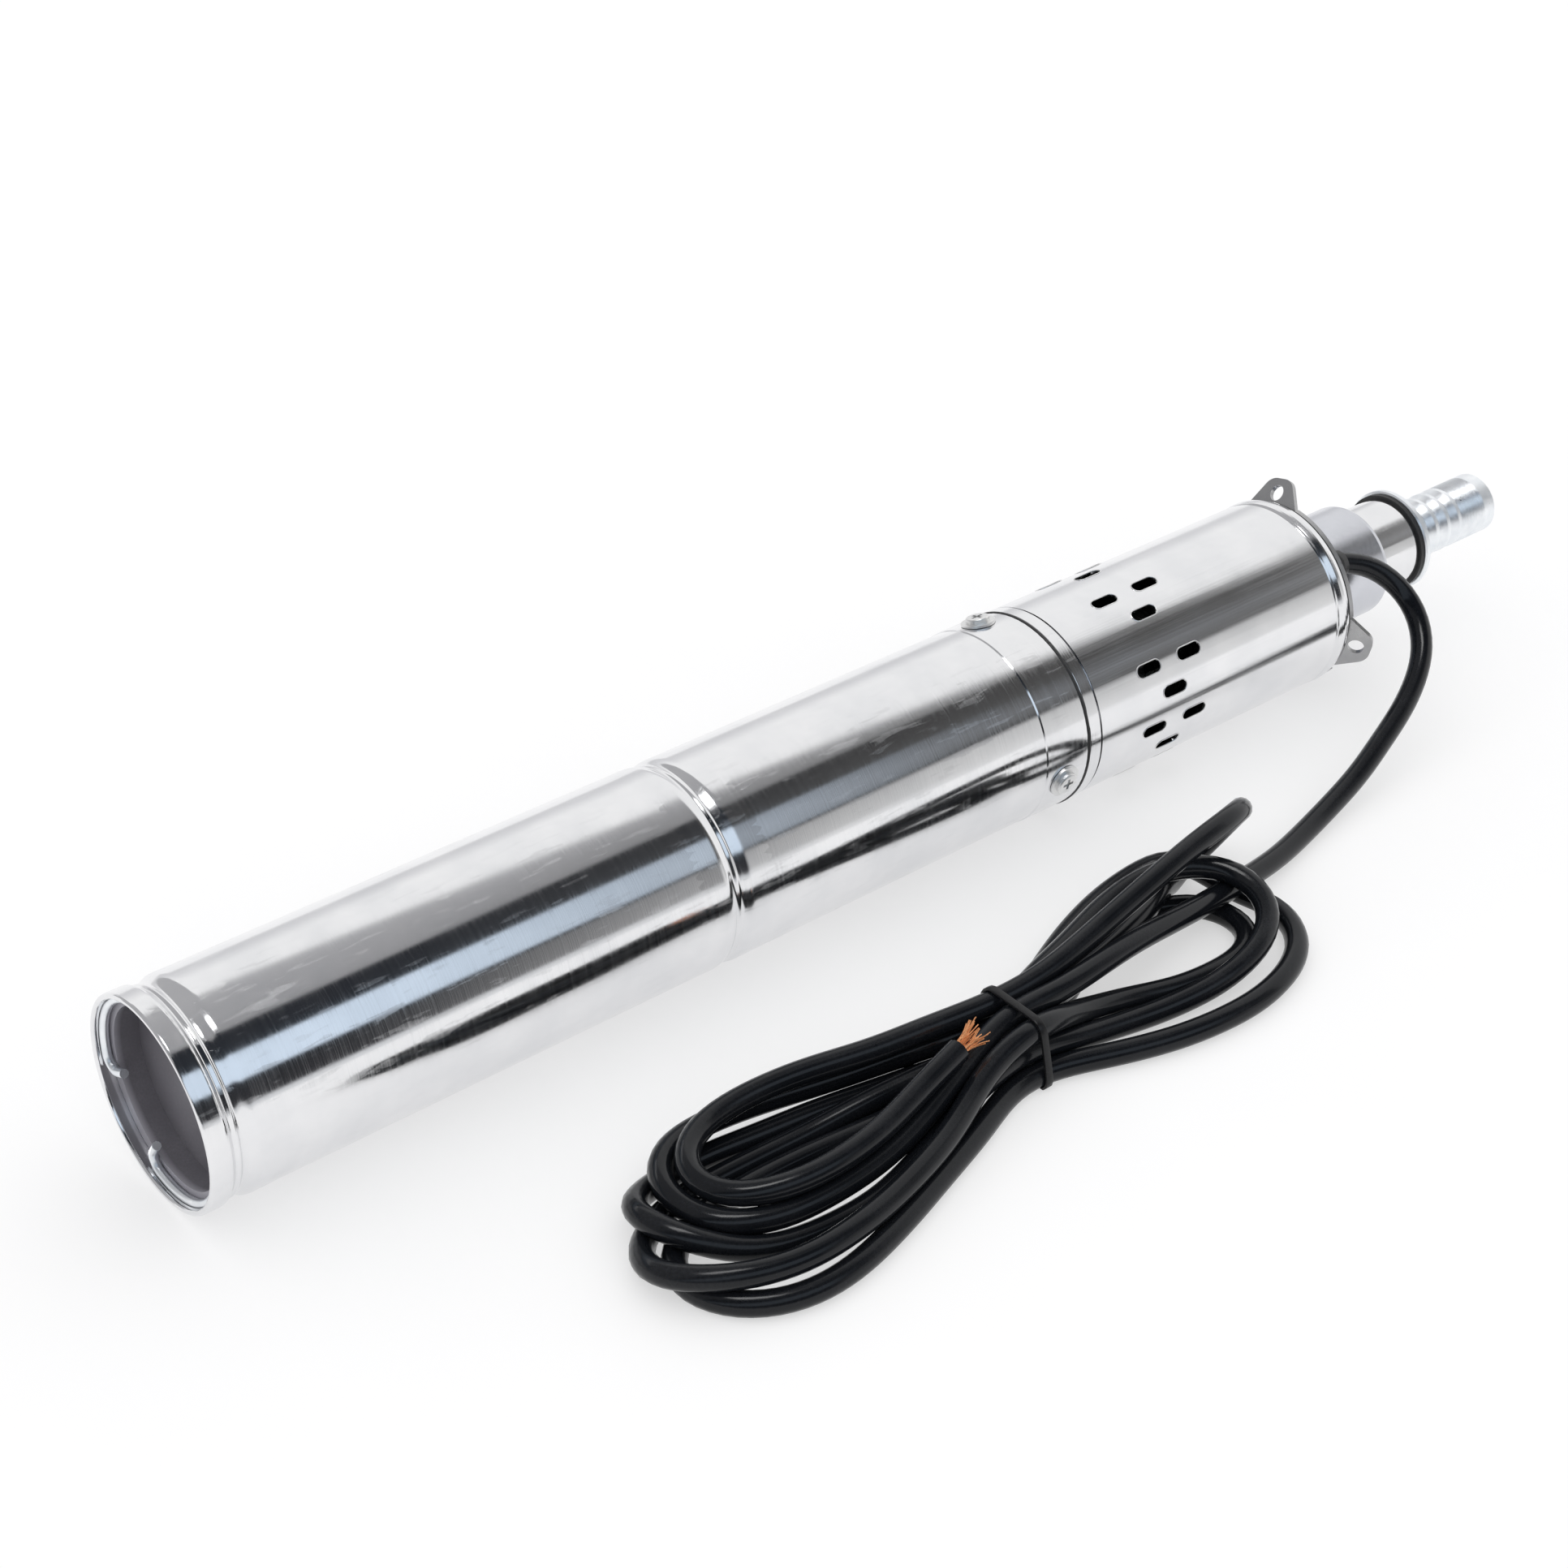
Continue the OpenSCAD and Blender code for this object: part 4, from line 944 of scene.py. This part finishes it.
@dataclass
class IntakeUnit:
    """The intake tube, its collar and gasket, and the screw pump inside. Sizes in mm, angles in degrees."""

    tube: Finish = STRAINER
    collar: Finish = POLISHED
    bead_width: float = 1.5
    bead_rise: float = 0.5
    tube_r: float = 38.2
    slot_len: float = 12.2
    slot_width: float = 5.0
    slot_stagger: float = 17.2
    rim_wire: float = 0.5

    SLOT_ROWS: ClassVar[list[float]] = [89.2, 99.6, 110.0]
    SLOT_GROUPS: ClassVar[list[float]] = [6.0, 53.5, 101.0, 148.5, 186.0, 233.5, 281.0, 328.5]
    SLOT_END_POINTS: ClassVar[int] = 12
    BEAD_POINTS: ClassVar[int] = 12

    def slot_edge(self, row: float, angle: float, axis: float) -> np.ndarray:
        """Draws the edge of one intake slot on the tube.

        Args:
            row: the slot's middle along the pump.
            angle: the slot's middle round the pump.
            axis: the height of the pump's axis.

        Returns:
            The edge's points.
        """
        straight = (self.slot_len - self.slot_width) / 2
        end = self.slot_width / 2
        turns = np.linspace(-math.pi / 2, math.pi / 2, self.SLOT_END_POINTS)
        along = np.r_[straight + end * np.cos(turns), -straight - end * np.cos(turns)]
        place = math.radians(angle) + np.r_[end * np.sin(turns), -end * np.sin(turns)] / self.tube_r
        across, up = self.tube_r * np.cos(place), self.tube_r * np.sin(place)
        return np.stack([row + along, across, axis + up], axis=1)

    def build_rims(self) -> None:
        """Makes the bright turned-out rims round the intake slots."""
        low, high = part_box("strainer")
        axis = (low[2] + high[2]) / 2 / MM
        edges = []
        for group in self.SLOT_GROUPS:
            for number, row in enumerate(self.SLOT_ROWS):
                angle = group + (self.slot_stagger if number == 1 else 0.0)
                edges.append(self.slot_edge(row, angle, axis) * MM)
        rims = tube_mesh("slot_rims", edges, self.rim_wire / 2 * MM, sides=1, closed=True)
        finish_piece(rims, SCREW, "strainer_steel")

    def build_bead(self) -> None:
        """Makes the lip gasket's edge, which is squeezed out as a low bead all round."""
        low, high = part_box("lip_gasket")
        middle = ((low[0] + high[0]) / 2, 0.0, (low[2] + high[2]) / 2)
        radius = (high[2] - low[2]) / 2
        bpy.ops.object.select_all(action="DESELECT")
        bpy.ops.mesh.primitive_torus_add(
            major_segments=ROUND, minor_segments=self.BEAD_POINTS, major_radius=radius,
            minor_radius=self.bead_width / 2 * MM, rotation=(0.0, math.pi / 2, 0.0), location=middle)
        bead = bpy.context.view_layer.objects.active
        bead.name = "gasket_bead"
        bpy.ops.object.transform_apply(location=True, rotation=True, scale=True)
        for vertex in bead.data.vertices:
            reach = math.hypot(vertex.co.y, vertex.co.z - middle[2])
            share = (radius + (reach - radius) * 2 * self.bead_rise / self.bead_width) / reach
            vertex.co.y, vertex.co.z = vertex.co.y * share, middle[2] + (vertex.co.z - middle[2]) * share
        bpy.ops.object.shade_smooth_by_angle(angle=math.radians(CREASE))
        finish_piece(bead, RUBBER, "black_rubber")

    def dress(self) -> None:
        """Gives the intake's nodes their finishes."""
        Wardrobe.dress({
            "intake_collar": self.collar, "strainer": self.tube, "inner_cable": SHEATH,
            "pump_barrel": MACHINED, "pump_stator": RUBBER, "screw_rotor": CHROME, "drive_coupling": MACHINED,
            "connecting_rod": MACHINED,
        })


@dataclass
class HeadUnit:
    """The head plate with its lifting ears, the outlet casting and the hose tail."""

    plate: Finish = PLATE
    casting: Finish = CASTING

    def dress(self) -> None:
        """Gives the head's nodes their finishes."""
        Wardrobe.dress({
            "head_gasket": RUBBER, "head_plate": self.plate, "outlet_dome": self.casting,
            "outlet_nipple": POLISHED, "outlet_gasket": RUBBER, "hose_tail": ZINC, "cable_gland": RUBBER,
        })


@dataclass
class Studio:
    """The floor, the soft light and the camera.

    The room that polished metal mirrors is told by two measures of a direction: its part, which is the angle
    about the pump's axis as a share of half a turn, and its slope, which is how far it leans along that axis.

    Attributes:
        floor_pale: how much darker the floor's faint clouds are, as a factor.
        edge_slope, edge_part: a direction on the edge where the back wall ends and the strips begin.
        edge_rate: how fast that edge climbs with the slope.
        head_drop: how much lower the edge lies for the pump's head.
        neck_share: how much of the strips turns grey for the outlet's neck.
    """

    lens: float = 69.02
    eye: Point = (-0.6150, -0.6880, 0.6446)
    ahead: Point = (0.5224, 0.6463, -0.5563)
    floor_size: float = 14.0
    floor_tint: Colour = (0.50, 0.50, 0.505)
    floor_pale: float = 0.985
    floor_cloud: float = 9.0
    floor_glow: float = 0.52
    lamp_glow: float = 9.0
    edge_slope: float = 0.394
    edge_part: float = 0.317
    edge_rate: float = 0.628
    edge_soft: float = 0.01
    head_drop: float = 0.11
    neck_share: float = 0.45

    MOTOR_STRIPS: ClassVar[list[Stop]] = [
        (0.0, (0.46, 0.46, 0.47)), (60.0, (0.44, 0.44, 0.45)), (101.0, (0.34, 0.34, 0.35)),
        (104.0, (0.018, 0.021, 0.027)), (125.0, (0.022, 0.026, 0.033)), (128.0, (0.74, 0.86, 1.0)),
        (151.0, (0.74, 0.86, 1.0)), (154.0, (0.022, 0.024, 0.028)), (174.0, (0.03, 0.03, 0.034)),
        (177.0, (0.75, 0.76, 0.78)),
    ]
    PUMP_STRIPS: ClassVar[list[Stop]] = [
        (0.0, (0.46, 0.46, 0.47)), (60.0, (0.45, 0.45, 0.46)), (100.0, (0.20, 0.20, 0.20)),
        (104.0, (0.050, 0.049, 0.049)), (126.0, (0.085, 0.084, 0.083)), (140.0, (0.165, 0.168, 0.175)),
        (149.0, (0.13, 0.13, 0.13)), (153.0, (0.055, 0.055, 0.056)), (157.0, (0.62, 0.62, 0.62)),
        (177.0, (0.80, 0.80, 0.80)),
    ]
    BACK_STRIPS: ClassVar[list[Stop]] = [
        (0.0, (0.92, 0.92, 0.92)), (3.0, (0.71, 0.71, 0.725)), (12.0, (0.77, 0.77, 0.785)),
        (27.0, (1.0, 1.0, 1.0)),
    ]
    NECK_GREY: ClassVar[Colour] = (0.5, 0.5, 0.5)
    LEAST_ACROSS: ClassVar[float] = 0.001
    PUMP_SLOPES: ClassVar[Range] = (0.42, 0.70)
    HEAD_SLOPES: ClassVar[Range] = (0.905, 0.915)
    NECK_SLOPES: ClassVar[Range] = (0.937, 0.945)
    LAMP_PARTS: ClassVar[tuple[Range, Range]] = ((0.465, 0.48), (0.53, 0.545))
    LAMP_SLOPES: ClassVar[tuple[Range, Range]] = ((-0.34, -0.28), (0.16, 0.22))

    def build_camera(self) -> None:
        """Sets the camera at the photograph's viewing angle."""
        data = bpy.data.cameras.new("view")
        data.lens = self.lens
        data.sensor_width = 36.0
        data.clip_end = 60.0
        back = -Vector(self.ahead).normalized()
        right = Vector((0.0, 0.0, 1.0)).cross(back).normalized()
        up = back.cross(right)
        camera = bpy.data.objects.new("view", data)
        bpy.context.scene.collection.objects.link(camera)
        turn = Matrix((right, up, back)).transposed().to_4x4()
        camera.matrix_world = Matrix.Translation(self.eye) @ turn
        bpy.context.scene.camera = camera

    def build_floor(self) -> None:
        """Lays a pale floor that keeps the shadow and looks white in the open."""
        bpy.ops.object.select_all(action="DESELECT")
        bpy.ops.mesh.primitive_plane_add(size=self.floor_size)
        floor = bpy.context.view_layer.objects.active
        floor.name = "floor"
        material, bench, shader = fresh_material("pale_floor")
        cloud = Effects.place(bench, Effect.CLOUD, Scale=self.floor_cloud)
        pale = rgba(tuple(self.floor_pale * c for c in self.floor_tint))
        colour = bench.blend(cloud.outputs["Mask"], rgba(self.floor_tint), pale)
        path = bench.add("ShaderNodeLightPath").outputs
        seen = bench.math("MAXIMUM", path["Is Camera Ray"], path["Is Glossy Ray"])
        bench.feed(shader, {
            "Base Color": colour, "Roughness": 0.9, "Specular IOR Level": 0.0, "Emission Color": WHITE,
            "Emission Strength": bench.math("MULTIPLY", seen, self.floor_glow),
        })
        floor.data.materials.append(material)

    def build_light(self) -> None:
        """Builds the soft room: even light, a white backdrop, and the strips that polished metal mirrors."""
        world = bpy.data.worlds.new("soft_room")
        world.use_nodes = True
        bpy.context.scene.world = world
        bench = Bench(world.node_tree)
        world.node_tree.nodes.clear()
        way = bench.add("ShaderNodeTexCoord").outputs["Generated"]
        axes = bench.add("ShaderNodeSeparateXYZ", {0: way}).outputs
        angle = bench.math("ARCTAN2", axes["Z"], axes["Y"])
        part = bench.math("DIVIDE", angle, math.pi)
        squares = [bench.math("MULTIPLY", axes[name], axes[name]) for name in "YZ"]
        across = bench.math("SQRT", bench.math("ADD", *squares))
        slope = bench.math("DIVIDE", axes["X"], bench.math("MAXIMUM", across, self.LEAST_ACROSS))
        motor = self.strips(bench, part, self.MOTOR_STRIPS)
        pump = self.strips(bench, part, self.PUMP_STRIPS)
        strips = bench.blend(bench.span(slope, self.PUMP_SLOPES, UNIT), motor, pump)
        neck = bench.span(slope, self.NECK_SLOPES, (0.0, self.neck_share))
        strips = bench.blend(neck, strips, rgba(self.NECK_GREY))
        climb = bench.math("MULTIPLY", bench.math("SUBTRACT", slope, self.edge_slope), self.edge_rate)
        edge = bench.math("ADD", climb, self.edge_part)
        edge = bench.math("SUBTRACT", edge, bench.span(slope, self.HEAD_SLOPES, (0.0, self.head_drop)))
        beyond = bench.span(bench.math("SUBTRACT", part, edge), (-self.edge_soft, self.edge_soft), UNIT)
        mirrored = bench.blend(beyond, self.strips(bench, part, self.BACK_STRIPS), strips)
        sides, ends = self.window(bench, part, *self.LAMP_PARTS), self.window(bench, slope, *self.LAMP_SLOPES)
        lamp = bench.math("MULTIPLY", sides, ends)
        mirrored = bench.blend(lamp, mirrored, rgba((self.lamp_glow,) * 3))
        path = bench.add("ShaderNodeLightPath").outputs
        room = bench.blend(path["Is Glossy Ray"], WHITE, mirrored)
        colour = bench.blend(path["Is Camera Ray"], room, WHITE)
        light = bench.add("ShaderNodeBackground", {"Color": colour, "Strength": 1.0})
        bench.add("ShaderNodeOutputWorld", {"Surface": light.outputs[0]})

    @staticmethod
    def strips(bench: Bench, part: Feed, stops: list[Stop]) -> bpy.types.NodeSocket:
        """The room's light and dark strips, from the back over the top to the front.

        Args:
            bench: the world's bench.
            part: the angle about the pump's axis, as a share of half a turn.
            stops: the strips' angles in degrees, and their colours.

        Returns:
            The strips' colour socket.
        """
        node = bench.add("ShaderNodeValToRGB", {0: part})
        ramp = node.color_ramp
        while len(ramp.elements) < len(stops):
            ramp.elements.new(1.0)
        for element, (degrees, colour) in zip(ramp.elements, stops):
            element.position = degrees / 180.0
            element.color = rgba(colour)
        return node.outputs[0]

    @staticmethod
    def window(bench: Bench, value: Feed, rise: Range, fall: Range) -> bpy.types.NodeSocket:
        """A mask that is 1 between two soft edges, and 0 outside them.

        Args:
            bench: the world's bench.
            value: the value that is looked at.
            rise: where the mask goes from 0 to 1.
            fall: where the mask goes back to 0.

        Returns:
            The mask's socket.
        """
        return bench.math("MULTIPLY", bench.span(value, rise, UNIT), bench.span(value, fall, FADE))

    def build_view(self) -> None:
        """Leaves colours as they are written."""
        bpy.context.scene.view_settings.view_transform = "Standard"


def main() -> None:
    """Builds the camera, the cable, the pump's units and the studio."""
    logging.basicConfig(level=logging.INFO, format="%(name)s %(message)s")
    studio = Studio()
    studio.build_camera()
    PowerCable().build()
    motor, intake = MotorUnit(), IntakeUnit()
    motor.build_ring()
    motor.build_grooves()
    intake.build_bead()
    intake.build_rims()
    for unit in (motor, intake, HeadUnit()):
        unit.dress()
        LOG.info("%s dressed", type(unit).__name__)
    studio.build_floor()
    studio.build_light()
    studio.build_view()


if __name__ == "__main__":
    main()
